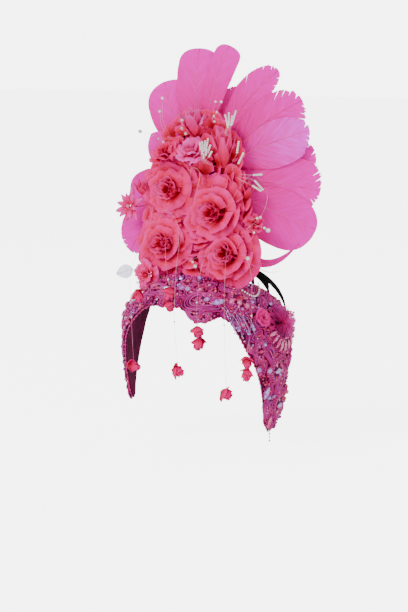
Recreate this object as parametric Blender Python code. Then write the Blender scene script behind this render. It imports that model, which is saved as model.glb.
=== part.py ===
"""Stage headpiece: dyed feathers and silk roses on a beaded lace headband.

Lengths in the tables are millimetres and angles are degrees; meshes are made in metres, +Z up.
The piece faces -Y, the wearer's left is +X, and the origin is the top of the head it sits on.
"""
import math

import bmesh
import bpy
from mathutils import Matrix, Vector

MM = 0.001
GAP = 0.3
SHARP = 38.0

# The head that the band fits: a dome, slightly narrower at the face, then a slow taper to the jaw
HEAD_HALF_WIDTH = 78.0
HEAD_HALF_LENGTH = 100.0
HEAD_DOME = 72.0
DOME_DOWN = 125.0
FACE_NARROWING = 0.10
JAW_TAPER = 0.20
JAW_SPAN = 100.0

# Headband of felt, from the tip of the right tail over the brow to the tip of the left tail
BAND_WALL = 2.6
BAND_COLUMNS = 6
BAND_STEPS = 2
BAND_ROWS = (
    # front_turn, front_down, rear_turn, rear_down
    (-67, 187, -73, 185),
    (-62, 178, -82, 168),
    (-59, 168, -90, 148),
    (-57, 157, -97, 127),
    (-55, 144, -101, 106),
    (-52, 130, -100, 84),
    (-47, 116, -90, 62),
    (-41, 103, -75, 50),
    (-35, 93, -60, 46),
    (-29, 84, -45, 42),
    (-20, 78, -30, 38),
    (-10, 76, -14, 38),
    (0, 77, 0, 38),
    (12, 77, 14, 38),
    (24, 87, 30, 38),
    (35, 93, 45, 42),
    (45, 88, 60, 46),
    (52, 95, 75, 50),
    (57, 110, 92, 62),
    (62, 126, 105, 84),
    (67, 138, 110, 108),
    (71, 150, 107, 128),
    (75, 165, 105, 148),
    (78.5, 181, 104, 168),
    (81.5, 194, 104.5, 188),
    (84, 206, 104, 203),
    (91, 215, 98, 213),
)

# Oval felt cap on top of the head, longer towards the face
BASE_WALL = 2.4
BASE_DOWN = 29.0
BASE_FORWARD = 5.0
BASE_SEGMENTS = 20
BASE_SHARES = (0.4, 0.72, 1.0)

# Elastic straps from the cap's rim to the band's rear edge
STRAP_WALL = 1.2
STRAP_ROWS = 7
STRAP_CLEAR = 0.6
STRAPS = (
    # name, turn at the cap's rim, half width there in degrees, band row it meets, half width in rows
    ("strap_left_front", 106, 6.5, 17.70, 0.18),
    ("strap_left_mid", 126, 6.5, 18.45, 0.13),
    ("strap_left_rear", 146, 6.5, 19.60, 0.14),
    ("strap_right_front", -106, 6.5, 5.55, 0.13),
    ("strap_right_rear", -140, 6.5, 4.45, 0.14),
)

# Upright shield of buckram: its own frame has X across, Z up its height and -Y out of its face
PANEL_FOOT = Vector((0.0, -30.0, 0.0))
PANEL_LEAN = 8.0
PANEL_WALL = 3.0
FOOT_CLEAR = 0.9
PANEL_COLUMNS = 5
PANEL_ROWS = (
    # height, left edge, right edge; the lowest row follows the felt cap
    (0, -24, 26),
    (9, -32, 38),
    (22, -38, 49),
    (45, -40, 52),
    (65, -40, 47),
    (85, -38, 43),
    (105, -34, 41),
    (122, -29, 33),
    (136, -23, 25),
    (145, -13, 12),
    (150, -6, 4),
)

# Silk roses: petals stand in whorls, each whorl a rim outside a valley
PETALS = 5
ROSE_SEGMENTS = 20
ROSE_HEART = 0.80
ROSE_ROWS = (
    # share of radius, share of height, lobe in radius, lobe in height, turn of the lobes
    (0.28, 0.00, 0.00, 0.00, 0),
    (0.58, 0.14, 0.02, 0.00, 0),
    (0.90, 0.34, 0.05, 0.02, 0),
    (1.00, 0.46, 0.07, 0.04, 0),
    (0.95, 0.53, 0.07, 0.04, 0),
    (0.72, 0.44, 0.03, 0.02, 0),
    (0.79, 0.72, 0.05, 0.03, 36),
    (0.73, 0.79, 0.05, 0.03, 36),
    (0.52, 0.65, 0.02, 0.02, 36),
    (0.56, 0.90, 0.04, 0.03, 0),
    (0.48, 0.95, 0.04, 0.03, 0),
    (0.32, 0.80, 0.01, 0.01, 0),
    (0.20, 1.00, 0.03, 0.01, 36),
)
OUTER_PETAL_ROWS = (4, 5)
THREAD_SHARE = 0.3
ROSES = (
    # name, across, up, radius, height, turn
    ("rose_upper_left", -25, 77, 30, 24, 8),
    ("rose_centre", 24, 57, 32, 28, 30),
    ("rose_lower_left", -27, 21, 29, 24, 50),
    ("rose_lower_right", 41, 16, 29, 25, 18),
)

# Small silk flowers, each on a short wired stem that starts on the shield
BLOOM_SEGMENTS = 10
BLOOM_HEART = 0.86
BLOOM_ROWS = (
    (0.13, 0.00, 0.00, 0.00, 0),
    (0.16, 0.42, 0.00, 0.00, 0),
    (0.72, 0.62, 0.12, 0.03, 0),
    (1.00, 0.80, 0.17, 0.05, 0),
    (0.90, 0.87, 0.17, 0.05, 0),
    (0.42, 0.70, 0.04, 0.02, 0),
    (0.44, 0.97, 0.10, 0.03, 36),
    (0.26, 0.95, 0.06, 0.03, 36),
)
STEM_ROWS = 1
FAR_NEIGHBOUR = 10.0
LEAST_TOWARDS = 0.05
BLOOMS = (
    # name, across, up, radius, height, stem across, stem up, turn
    ("bloom_upper_centre", -5, 112, 18, 20, -5, 110, 12),
    ("bloom_top", -5, 145, 15, 17, -3, 139, 40),
    ("bloom_upper_right", 34, 117, 17, 22, 29, 114, 0),
    ("bloom_upper_left", -35, 120, 14, 19, -27, 116, 20),
    ("star_flower_left", -69, 58, 12, 17, -37, 60, 18),
    ("bud_left", -60, 77, 8, 16, -37, 78, 0),
    ("bloom_low_left", -52, -10, 10, 19, -25, 7, 30),
    ("bloom_right", 69, 46, 9, 17, 48, 47, 50),
    ("petals_right", 58, 79, 10, 18, 42, 77, 10),
)

# Feathers: roots on a ring behind the shield, vanes in layers that curve back together
FAN_CENTRE = (2.0, 92.0)
ROOT_RING = 20.0
SHAFT_HALF = 0.8
VANE_HALF = 0.5
EDGE_THINNING = 0.3
LAYER = 2.6
LAYER_RISE = (0.08, 0.26)
CUP = 0.8
CUP_HALF_WIDTH = 10.0
SWEEP_BACK = 13.0
SWEEP_REACH = 130.0
FEATHER_ROWS = (
    # share of length, share of width
    (0.00, 0.04), (0.14, 0.05), (0.25, 0.36), (0.37, 0.72), (0.50, 0.93), (0.63, 1.00),
    (0.75, 0.98), (0.85, 0.88), (0.93, 0.66), (0.97, 0.46), (1.00, 0.18),
)
FEATHER_SECTION = (
    # place across the vane from edge to edge, side of the vane
    (-1.0, 0), (-0.35, 1), (0.35, 1), (1.0, 0), (0.35, -1), (-0.35, -1),
)
FEATHERS = (
    # name, tip across, tip up, width, bow to its right, layer
    ("feather_low_left", -80, 13, 34, 6, 1),
    ("feather_left_low", -82, 66, 46, 4, 2),
    ("feather_left_point", -60, 130, 34, -5, 0),
    ("feather_left_broad", -50, 187, 46, -9, 2),
    ("feather_top_left", -17, 219, 31, -5, 0),
    ("feather_top_right", 18, 222, 30, -9, 1),
    ("feather_back_top", 42, 176, 42, -6, 3),
    ("feather_right_sickle", 74, 198, 33, -15, 2),
    ("feather_right_high", 103, 170, 46, -9, 1),
    ("feather_right_pale", 115, 141, 42, -6, 0),
    ("feather_right_mid", 122, 113, 46, -4, 2),
    ("feather_right_low", 129, 85, 46, -4, 1),
    ("feather_right_broad", 127, 51, 48, 3, 0),
    ("feather_back_low", 116, 70, 40, -2, 3),
)
CURL_ROOT = (36.0, 34.0)
CURL = ("feather_right_curl", 107, 31, 14, 36, 1)

# Beaded lace motifs on the band, each a lobed patch with a cut stone in its middle
LACE_CLEAR = 0.5
LACE_ROWS = (
    # share of radius, height above the band, lobe in radius
    (0.50, 0.0, 0.00),
    (1.00, 0.0, 0.10),
    (0.97, 1.8, 0.10),
    (0.62, 3.2, 0.05),
    (0.44, 3.0, 0.00),
    (0.44, 4.4, 0.00),
    (0.24, 5.4, 0.00),
)
LACE = (
    # name, turn, down, half width, half height, lobes, height scale
    ("lace_brow_right", -37, 65, 10, 13, 6, 1.2),
    ("lace_brow_centre", -10, 60, 9.5, 13, 6, 1.0),
    ("lace_brow_left", 13, 50, 8, 10, 6, 1.1),
    ("lace_marquise", 34, 72, 12, 11, 6, 1.2),
    ("lace_peak", 30, 89.5, 9, 5.5, 6, 0.8),
    ("lace_temple_left", 61, 74, 14, 16, 6, 1.1),
    ("dahlia_left", 92, 108, 24, 24, 9, 1.9),
    ("lace_cheek_left", 70.5, 129, 8, 12, 6, 1.0),
    ("lace_jaw_left", 86, 152, 13, 15, 6, 1.2),
    ("lace_tail_left", 93, 188, 12, 15, 6, 1.2),
    ("lace_temple_right", -60, 90, 17, 20, 6, 1.7),
    ("lace_cheek_right", -75, 136, 16, 20, 6, 1.5),
)

# Wired sprays of pearls and bugle beads: a foot on the shield, a knot above the roses, then arms
WIRE = 0.6
ARM_SIDES = 6
KNOT = 3.0
SPRAY_CELL = 3.2
NEAR_SHARE = 0.8
FAR_SHARE = 0.7
SPRAYS = (
    # name, foot across, foot up, knot height, then for each arm
    # its bead's across, up, height, radius and length
    ("spray_upper_left", -21, 132, 18,
     ((-34, 160, 21, 1.9, 4), (-42, 146, 21, 1.9, 4), (-62, 131, 19, 2.0, 4))),
    ("spray_bugles_centre", 15, 97, 24,
     ((5, 119, 29, 2.2, 13), (15, 122, 30, 2.4, 14), (25, 116, 29, 2.2, 11))),
    ("spray_bugles_top", 18, 137, 22,
     ((30, 157, 26, 1.6, 9), (41, 151, 26, 1.6, 9), (18, 165, 22, 1.8, 4))),
    ("spray_rods_right", 40, 97, 20,
     ((52, 117, 24, 1.4, 12), (60, 108, 24, 1.4, 11), (76, 93, 20, 1.4, 12))),
    ("spray_pearls_low", 8, 24, 24,
     ((-2, 10, 29, 2.0, 4), (7, 5, 30, 2.2, 4), (15, 15, 31, 1.8, 4))),
)

# Drops: clear thread from an outer petal, forward over the brow and down, with silk rosebuds on it
THREAD = 0.5
THREAD_LIFT = 9.0
THREAD_STEPS = 2
DROP_SIDES = 6
BUD_ROWS = (
    # place along the bud from its middle, share of its radius
    (0.5, 0.0), (0.3, 0.75), (0.0, 1.0), (-0.3, 0.7), (-0.5, 0.0),
)
DROPS = (
    # name, rose it starts on, petal step, points the thread passes, then beads as (place, radius, length)
    ("drop_temple_right", "rose_lower_left", 12, ((-36, -84, 4), (-30, -90, -8)),
     (((-29, -90, -21), 4.6, 13),)),
    ("drop_brow", "rose_lower_left", 15, ((-2, -84, 14), (6, -94, -2)), (((8, -95, -23), 5.6, 21),)),
    ("drop_cheek_right", "rose_lower_left", 14, ((-32, -98, 6), (-30, -102, -40)),
     (((-28, -102, -88), 4.6, 10),)),
    ("drop_nose", "rose_lower_left", 16, ((14, -92, 12), (20, -108, -40)), (((26, -112, -87), 5.0, 12),)),
    ("drop_eye_left", "rose_lower_right", 11, ((38, -86, 12), (43, -106, -20)),
     (((46, -110, -47), 4.4, 10), ((47, -110, -59), 4.8, 12))),
    ("drop_cheek_left", "rose_lower_right", 13, ((62, -84, 10), (71, -104, -40)),
     (((74, -105, -106), 5.4, 12),)),
    ("drop_temple_left", "rose_lower_right", 17, ((80, -66, 8), (86, -76, -34)),
     (((83, -80, -78), 4.4, 11), ((83, -80, -91), 4.6, 12))),
)

CORAL = (0.78, 0.05, 0.13)
MAGENTA = (0.84, 0.03, 0.33)
LACE_PINK = (0.50, 0.03, 0.20)
BLACK = (0.01, 0.01, 0.01)
PEARL = (0.86, 0.78, 0.76)


def head_section(down):
    """Share of the girth, and the height, at a measure down from the top of the head."""
    if down < DOME_DOWN:
        rise = math.pi / 2 * (1 - down / DOME_DOWN)
        return math.cos(rise), HEAD_DOME * (math.sin(rise) - 1)
    fall = down - DOME_DOWN
    return 1 - JAW_TAPER * (fall / JAW_SPAN) ** 2, -HEAD_DOME - fall


def head_skin(turn, down):
    """Point on the head; turn is 0 at the face and 90 at the wearer's left ear."""
    share, height = head_section(down)
    angle = math.radians(turn)
    half_width = HEAD_HALF_WIDTH * (1 - FACE_NARROWING * math.cos(angle))
    return Vector((half_width * share * math.sin(angle),
                   -HEAD_HALF_LENGTH * share * math.cos(angle), height))


def head_point(turn, down, lift):
    """Point at a lift straight out of the head."""
    across = head_skin(turn + 1, down) - head_skin(turn - 1, down)
    along = head_skin(turn, down + 1) - head_skin(turn, down - 1)
    return head_skin(turn, down) + along.cross(across).normalized() * lift


def between(table, place):
    """Row of a table at a fractional place, each value in proportion."""
    low = max(0, min(int(place), len(table) - 2))
    share = place - low
    return [a + (b - a) * share for a, b in zip(table[low], table[low + 1])]


def loft(rings, start=None, end=None):
    """Closed skin through rings of equally many points, ending in a point or a flat cap."""
    count = len(rings[0])
    points = [point for ring in rings for point in ring]
    faces = []
    for row in range(len(rings) - 1):
        for k in range(count):
            here, there = row * count + k, row * count + (k + 1) % count
            faces.append((here, there, there + count, here + count))
    for tip, first in ((start, 0), (end, (len(rings) - 1) * count)):
        if tip is None:
            faces.append(tuple(range(first, first + count)))
            continue
        points.append(tip)
        faces += [(first + k, first + (k + 1) % count, len(points) - 1) for k in range(count)]
    return points, faces


def slab(inner, outer):
    """Closed skin round two grids of points with the same rows and columns."""
    rows, columns = len(inner), len(inner[0])
    points = [point for grid in (inner, outer) for row in grid for point in row]

    def at(side, row, column):
        return (side * rows + row) * columns + column

    faces = []
    for side in (0, 1):
        for row in range(rows - 1):
            for column in range(columns - 1):
                faces.append((at(side, row, column), at(side, row, column + 1),
                              at(side, row + 1, column + 1), at(side, row + 1, column)))
    rim = [(0, column) for column in range(columns)]
    rim += [(row, columns - 1) for row in range(1, rows)]
    rim += [(rows - 1, column) for column in range(columns - 2, -1, -1)]
    rim += [(row, 0) for row in range(rows - 2, 0, -1)]
    for here, there in zip(rim, rim[1:] + rim[:1]):
        faces.append((at(0, *here), at(0, *there), at(1, *there), at(1, *here)))
    return points, faces


def material(name, colour, roughness):
    finish = bpy.data.materials.new(name)
    finish.use_nodes = True
    shader = finish.node_tree.nodes["Principled BSDF"]
    shader.inputs["Base Color"].default_value = (*colour, 1)
    shader.inputs["Roughness"].default_value = roughness
    shader.inputs["Metallic"].default_value = 0.0
    return finish


def add_piece(name, skin, colour, roughness, frame=None):
    """One closed piece, about its own middle, hung in a frame if one is given."""
    points, faces = skin
    middle = sum(points, Vector()) / len(points)
    mesh = bpy.data.meshes.new(name)
    mesh.from_pydata([(point - middle) * MM for point in points], [], faces)
    shape = bmesh.new()
    shape.from_mesh(mesh)
    bmesh.ops.recalc_face_normals(shape, faces=shape.faces)
    shape.to_mesh(mesh)
    shape.free()
    mesh.shade_smooth()
    mesh.set_sharp_from_angle(angle=math.radians(SHARP))
    mesh.materials.append(material(name, colour, roughness))
    piece = bpy.data.objects.new(name, mesh)
    bpy.context.scene.collection.objects.link(piece)
    piece.location = middle * MM
    piece.parent = frame
    return piece


def ring(centre, axis, radius, sides):
    """Circle of points about an axis."""
    turn = axis.to_track_quat("Z", "Y")
    angles = [2 * math.pi * k / sides for k in range(sides)]
    return [centre + turn @ Vector((math.cos(a), math.sin(a), 0)) * radius for a in angles]


def smooth_path(points, steps):
    """Points along a smooth curve through the given ones."""
    ends = [points[0] * 2 - points[1], *points, points[-1] * 2 - points[-2]]
    path = []
    for a, b, c, d in zip(ends, ends[1:], ends[2:], ends[3:]):
        for step in range(steps):
            t = step / steps
            path.append((b * 2 + (c - a) * t + (a * 2 - b * 5 + c * 4 - d) * t ** 2
                         + (b * 3 - a - c * 3 + d) * t ** 3) * 0.5)
    return path + [points[-1]]


def tube_rings(path, radii, sides):
    """Rings along a path, each turned as little as possible from the one before."""
    axis = (path[1] - path[0]).normalized()
    side = axis.orthogonal().normalized()
    rings = []
    for k, (centre, radius) in enumerate(zip(path, radii)):
        ahead = path[min(k + 1, len(path) - 1)] - path[max(k - 1, 0)]
        turn = axis.rotation_difference(ahead.normalized())
        axis = ahead.normalized()
        side = turn @ side
        other = axis.cross(side)
        angles = [2 * math.pi * n / sides for n in range(sides)]
        rings.append([centre + (side * math.cos(a) + other * math.sin(a)) * radius for a in angles])
    return rings


def headband():
    grids = []
    for lift in (0.0, BAND_WALL):
        grid = []
        for step in range(BAND_STEPS * (len(BAND_ROWS) - 1) + 1):
            front_turn, front_down, rear_turn, rear_down = between(BAND_ROWS, step / BAND_STEPS)
            line = []
            for k in range(BAND_COLUMNS):
                share = k / (BAND_COLUMNS - 1)
                line.append(head_point(front_turn + (rear_turn - front_turn) * share,
                                       front_down + (rear_down - front_down) * share, lift))
            grid.append(line)
        grids.append(grid)
    add_piece("headband", slab(*grids), LACE_PINK, 0.6)


def base_rim(turn):
    return BASE_DOWN + BASE_FORWARD * math.cos(math.radians(turn))


def crown_base():
    turns = [360 * k / BASE_SEGMENTS for k in range(BASE_SEGMENTS)]
    rows = [(share, 0.0) for share in BASE_SHARES] + [(share, BASE_WALL) for share in BASE_SHARES[::-1]]
    rings = [[head_point(turn, base_rim(turn) * share, lift) for turn in turns] for share, lift in rows]
    add_piece("crown_base", loft(rings, Vector(), Vector((0, 0, BASE_WALL))), BLACK, 0.9)


def strap(name, start, end):
    """Flat elastic on the head between two pairs of places given as turn and down."""
    grids = []
    for lift in (0.0, STRAP_WALL):
        grid = []
        for k in range(STRAP_ROWS):
            share = k / (STRAP_ROWS - 1)
            edges = [between((a, b), share) for a, b in zip(start, end)]
            middle = [sum(values) / 2 for values in zip(*edges)]
            grid.append([head_point(turn, down, lift) for turn, down in (edges[0], middle, edges[1])])
        grids.append(grid)
    add_piece(name, slab(*grids), BLACK, 0.8)


def rear_place(row):
    """Place just behind and above the band's rear edge, as turn and down."""
    _, _, turn, down = between(BAND_ROWS, row)
    degree = (head_skin(turn + 1, down) - head_skin(turn, down)).length
    return turn + math.copysign(STRAP_CLEAR / degree, turn), down - STRAP_CLEAR


def straps():
    for name, turn, half_turn, row, half_rows in STRAPS:
        side = math.copysign(1, turn)
        turns = (turn - half_turn * side, turn + half_turn * side)
        start = [(t, base_rim(t) + STRAP_CLEAR) for t in turns]
        end = [rear_place(row + k * half_rows * side) for k in (-1, 1)]
        strap(name, start, end)


def panel_frame():
    frame = bpy.data.objects.new("panel_frame", None)
    bpy.context.scene.collection.objects.link(frame)
    frame.matrix_world = panel_matrix(MM)
    return frame


def panel_matrix(scale):
    return Matrix.Translation(PANEL_FOOT * scale) @ Matrix.Rotation(-math.radians(PANEL_LEAN), 4, "X")


def on_panel(across, up, out):
    """Place in the shield's frame at a distance out of its middle plane."""
    return Vector((across, -out, up))


def foot_height(across):
    """Height at which the shield's lower edge clears the felt cap."""
    share = 1 - (across / HEAD_HALF_WIDTH) ** 2 - (PANEL_FOOT.y / HEAD_HALF_LENGTH) ** 2
    return HEAD_DOME * (math.sqrt(share) - 1) + BASE_WALL + FOOT_CLEAR


def crown_panel(frame):
    grids = []
    for out in (-PANEL_WALL / 2, PANEL_WALL / 2):
        grid = []
        for up, left, right in PANEL_ROWS:
            line = []
            for k in range(PANEL_COLUMNS):
                across = left + (right - left) * k / (PANEL_COLUMNS - 1)
                line.append(on_panel(across, foot_height(across) if up == 0 else up, out))
            grid.append(line)
        grids.append(grid)
    add_piece("crown_panel", slab(*grids), BLACK, 0.85, frame)


def flower_cells():
    """Middle and radius of everything that stands side by side on the shield's face."""
    cells = {name: (across, up, radius) for name, across, up, radius, *_ in ROSES + BLOOMS}
    cells.update({name: (across, up, SPRAY_CELL) for name, across, up, *_ in SPRAYS})
    return cells


def room(name, angle):
    """How far a flower may reach in a direction before it meets the line halfway to a neighbour."""
    cells = flower_cells()
    across, up, radius = cells[name]
    reach = FAR_NEIGHBOUR * radius
    for other, (other_across, other_up, other_radius) in cells.items():
        apart = math.hypot(other_across - across, other_up - up)
        towards = math.cos(angle - math.atan2(other_up - up, other_across - across))
        if other != name and towards > LEAST_TOWARDS:
            middle = (apart ** 2 + radius ** 2 - other_radius ** 2) / (2 * apart)
            reach = min(reach, (middle - GAP / 2) / towards)
    return reach


def flower_rings(name, radius, height, rows, segments, turn, foot, stem_rows):
    """Rings of a silk flower; its first rows stand on its stem's foot, not under its middle."""
    across, up, _ = flower_cells()[name]
    widest = max(row[0] * (1 + row[2]) for row in rows)
    rings = []
    for index, (share, rise, lobe, lift_lobe, lobe_turn) in enumerate(rows):
        centre = foot if index < stem_rows else (across, up)
        points = []
        for k in range(segments):
            angle = 2 * math.pi * k / segments
            wave = math.cos(PETALS * (angle - math.radians(turn + lobe_turn)))
            squeeze = min(1, room(name, angle) / (radius * widest))
            reach = radius * share * (1 + lobe * wave) * squeeze
            out = PANEL_WALL / 2 + GAP + height * rise * (1 + lift_lobe * wave)
            points.append(on_panel(centre[0] + reach * math.cos(angle),
                                   centre[1] + reach * math.sin(angle), out))
        rings.append(points)
    return rings


def heart(name, height, share):
    across, up, _ = flower_cells()[name]
    return on_panel(across, up, PANEL_WALL / 2 + GAP + height * share)


def rose_rings(name):
    _, across, up, radius, height, turn = next(row for row in ROSES if row[0] == name)
    return flower_rings(name, radius, height, ROSE_ROWS, ROSE_SEGMENTS, turn, (across, up), 0)


def flowers(frame):
    for name, _, _, _, height, _ in ROSES:
        skin = loft(rose_rings(name), end=heart(name, height, ROSE_HEART))
        add_piece(name, skin, CORAL, 0.75, frame)
    for name, _, _, radius, height, stem_across, stem_up, turn in BLOOMS:
        rings = flower_rings(name, radius, height, BLOOM_ROWS, BLOOM_SEGMENTS, turn,
                             (stem_across, stem_up), STEM_ROWS)
        add_piece(name, loft(rings, end=heart(name, height, BLOOM_HEART)), CORAL, 0.75, frame)


def fan_root(tip_across, tip_up):
    """Place on the root ring, on the line to the feather's tip."""
    centre = Vector(FAN_CENTRE)
    return centre + (Vector((tip_across, tip_up)) - centre).normalized() * ROOT_RING


def swept(spot):
    """How far the fan has curved back at a place on it."""
    return SWEEP_BACK * ((spot - Vector(FAN_CENTRE)).length / SWEEP_REACH) ** 2


def feather(root, row, frame):
    """Shaft bowed from root to tip, with a thin vane either side of it."""
    name, tip_across, tip_up, width, bow, layer = row
    tip = Vector((tip_across, tip_up))
    aim = (tip - root).normalized()
    bend = (root + tip) / 2 + Vector((aim.y, -aim.x)) * bow
    rings = []
    for share, width_share in FEATHER_ROWS:
        place = root * (1 - share) ** 2 + bend * 2 * share * (1 - share) + tip * share ** 2
        along = ((bend - root) * (1 - share) + (tip - bend) * share).normalized()
        right = Vector((along.y, -along.x))
        start, stop = LAYER_RISE
        rise = min(1, max(0, (share - start) / (stop - start)))
        rise = rise * rise * (3 - 2 * rise)
        half_width = width / 2 * width_share
        points = []
        for side, face in FEATHER_SECTION:
            spot = place + right * half_width * side
            depth = PANEL_WALL / 2 + GAP + SHAFT_HALF + LAYER * layer * rise + swept(spot) - swept(root)
            depth += CUP * side ** 2 * min(1, half_width / CUP_HALF_WIDTH)
            thick = (SHAFT_HALF + (VANE_HALF - SHAFT_HALF) * share) * (1 - EDGE_THINNING * abs(side))
            points.append(on_panel(spot.x, spot.y, face * thick - depth))
        rings.append(points)
    add_piece(name, loft(rings), MAGENTA, 0.6, frame)


def lace_motif(name, turn, down, half_width, half_height, lobes, scale):
    """Lobed patch that follows the band, with a faceted stone raised in its middle."""
    degree = (head_skin(turn + 1, down) - head_skin(turn, down)).length
    step = (head_skin(turn, down + 1) - head_skin(turn, down)).length
    segments = 2 * lobes
    rings = []
    for reach, height, lobe in LACE_ROWS:
        lift = BAND_WALL + LACE_CLEAR + height * scale
        points = []
        for k in range(segments):
            angle = 2 * math.pi * k / segments
            radius = reach * (1 + lobe * math.cos(lobes * angle))
            points.append(head_point(turn + radius * half_width * math.cos(angle) / degree,
                                     down + radius * half_height * math.sin(angle) / step, lift))
        rings.append(points)
    add_piece(name, loft(rings, start=head_point(turn, down, BAND_WALL + LACE_CLEAR)), LACE_PINK, 0.35)


def spray(name, foot_across, foot_up, knot_height, arms, frame):
    """Wire foot, a knot, and an arm to each bead, all one body."""
    foot = on_panel(foot_across, foot_up, PANEL_WALL / 2 + GAP)
    knot = on_panel(foot_across, foot_up, PANEL_WALL / 2 + GAP + knot_height)
    limbs = [[(knot + (foot - knot).normalized() * KNOT, WIRE), (foot, WIRE)]]
    for across, up, height, radius, length in arms:
        bead = on_panel(across, up, PANEL_WALL / 2 + GAP + height)
        along = (bead - knot).normalized()
        near, far = bead - along * length / 2, bead + along * length / 2
        limbs.append([(knot + along * KNOT, WIRE), (near - along * WIRE, WIRE), (near, radius * NEAR_SHARE),
                      (bead, radius), (far, radius * FAR_SHARE)])
    shape = bmesh.new()
    starts = []
    for (centre, radius), *_ in limbs:
        starts.append([shape.verts.new(point) for point in ring(centre, centre - knot, radius, ARM_SIDES)])
    bmesh.ops.convex_hull(shape, input=shape.verts)
    for start in starts:
        shared = set(start)
        ends = [face for face in shape.faces if set(face.verts) <= shared]
        bmesh.ops.delete(shape, geom=ends, context="FACES_ONLY")
    for last, limb in zip(starts, limbs):
        for centre, radius in limb[1:]:
            line = [shape.verts.new(point) for point in ring(centre, centre - knot, radius, ARM_SIDES)]
            for k in range(ARM_SIDES):
                following = (k + 1) % ARM_SIDES
                shape.faces.new((last[k], last[following], line[following], line[k]))
            last = line
        shape.faces.new(last)
    shape.verts.index_update()
    points = [vert.co.copy() for vert in shape.verts]
    faces = [tuple(vert.index for vert in face.verts) for face in shape.faces]
    shape.free()
    add_piece(name, (points, faces), PEARL, 0.25, frame)


def thread_start(rose, step):
    """Start of a thread, just clear of the middle of an outer petal."""
    rings = rose_rings(rose)
    rim, valley = (rings[row][step] for row in OUTER_PETAL_ROWS)
    petal = rim + (valley - rim) * THREAD_SHARE
    return panel_matrix(1) @ (petal + on_panel(0, 0, THREAD + 2 * GAP))


def drop(name, rose, step, way, beads):
    """Thread that leaves a petal, passes its way points and ends in its last silk bud."""
    start = thread_start(rose, step)
    lifted = start + panel_matrix(1).to_3x3() @ on_panel(0, 0, THREAD_LIFT)
    path = smooth_path([start, lifted] + [Vector(point) for point in way], THREAD_STEPS)
    radii = [THREAD] * len(path)
    for place, radius, length in beads:
        middle = Vector(place)
        for rise, share in BUD_ROWS:
            path.append(middle + Vector((0, 0, rise * length)))
            radii.append(max(THREAD, radius * share))
    add_piece(name, loft(tube_rings(path, radii, DROP_SIDES)), CORAL, 0.7)


def build():
    for leftover in list(bpy.data.objects):
        bpy.data.objects.remove(leftover, do_unlink=True)
    headband()
    crown_base()
    straps()
    frame = panel_frame()
    crown_panel(frame)
    flowers(frame)
    for row in FEATHERS:
        feather(fan_root(row[1], row[2]), row, frame)
    feather(Vector(CURL_ROOT), CURL, frame)
    for row in LACE:
        lace_motif(*row)
    for row in SPRAYS:
        spray(*row, frame)
    for row in DROPS:
        drop(*row)
    bpy.context.view_layer.update()


build()
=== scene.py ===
"""Stage headpiece: a fan of dyed feathers and silk roses on a beaded lace headband."""

import math
import random

import bpy
from mathutils import Matrix, Vector


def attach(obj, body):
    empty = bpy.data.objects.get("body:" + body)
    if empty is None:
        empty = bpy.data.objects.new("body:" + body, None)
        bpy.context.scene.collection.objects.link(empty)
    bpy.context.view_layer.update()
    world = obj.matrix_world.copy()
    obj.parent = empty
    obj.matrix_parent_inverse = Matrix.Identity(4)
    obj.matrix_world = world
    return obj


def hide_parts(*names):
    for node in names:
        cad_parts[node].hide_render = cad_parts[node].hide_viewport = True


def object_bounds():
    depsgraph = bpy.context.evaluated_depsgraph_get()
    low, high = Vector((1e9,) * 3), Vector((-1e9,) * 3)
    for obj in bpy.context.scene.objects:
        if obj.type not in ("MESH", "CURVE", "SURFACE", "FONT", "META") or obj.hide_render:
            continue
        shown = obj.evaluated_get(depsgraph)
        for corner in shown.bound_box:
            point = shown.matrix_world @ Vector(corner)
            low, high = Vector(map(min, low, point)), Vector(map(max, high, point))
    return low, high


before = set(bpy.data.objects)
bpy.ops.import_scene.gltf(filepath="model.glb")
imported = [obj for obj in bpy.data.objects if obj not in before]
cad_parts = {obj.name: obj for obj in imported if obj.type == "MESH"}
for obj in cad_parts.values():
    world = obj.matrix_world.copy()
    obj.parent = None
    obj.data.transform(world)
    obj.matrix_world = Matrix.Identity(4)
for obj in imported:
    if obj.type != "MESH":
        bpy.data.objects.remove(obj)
cad_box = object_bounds()

# Camera: the headpiece is seen from a little to the wearer's left and just above the brow,
# from two metres, so that one millimetre of it fills about one pixel of the picture.
MM = 0.001
CAMERA_TURN, CAMERA_LIFT = math.radians(27), math.radians(9)
CAMERA_REACH, CAMERA_LENS, CAMERA_SENSOR, CAMERA_SIGHT = 2000.0, 117.65, 36, 20
AIM_RIGHT, AIM_UP = -3.0, -41.0
show = bpy.context.scene.collection.objects.link

viewer = Vector((math.sin(CAMERA_TURN) * math.cos(CAMERA_LIFT),
                 -math.cos(CAMERA_TURN) * math.cos(CAMERA_LIFT), math.sin(CAMERA_LIFT)))
right = Vector((math.cos(CAMERA_TURN), math.sin(CAMERA_TURN), 0))
aim = right * AIM_RIGHT + viewer.cross(right) * AIM_UP
camera = bpy.data.objects.new("camera", bpy.data.cameras.new("camera"))
camera.data.lens, camera.data.sensor_width, camera.data.clip_end = CAMERA_LENS, CAMERA_SENSOR, CAMERA_SIGHT
camera.location = (aim + viewer * CAMERA_REACH) * MM
camera.rotation_euler = (-viewer).to_track_quat("-Z", "Y").to_euler()
show(camera)
bpy.context.scene.camera = camera

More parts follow.
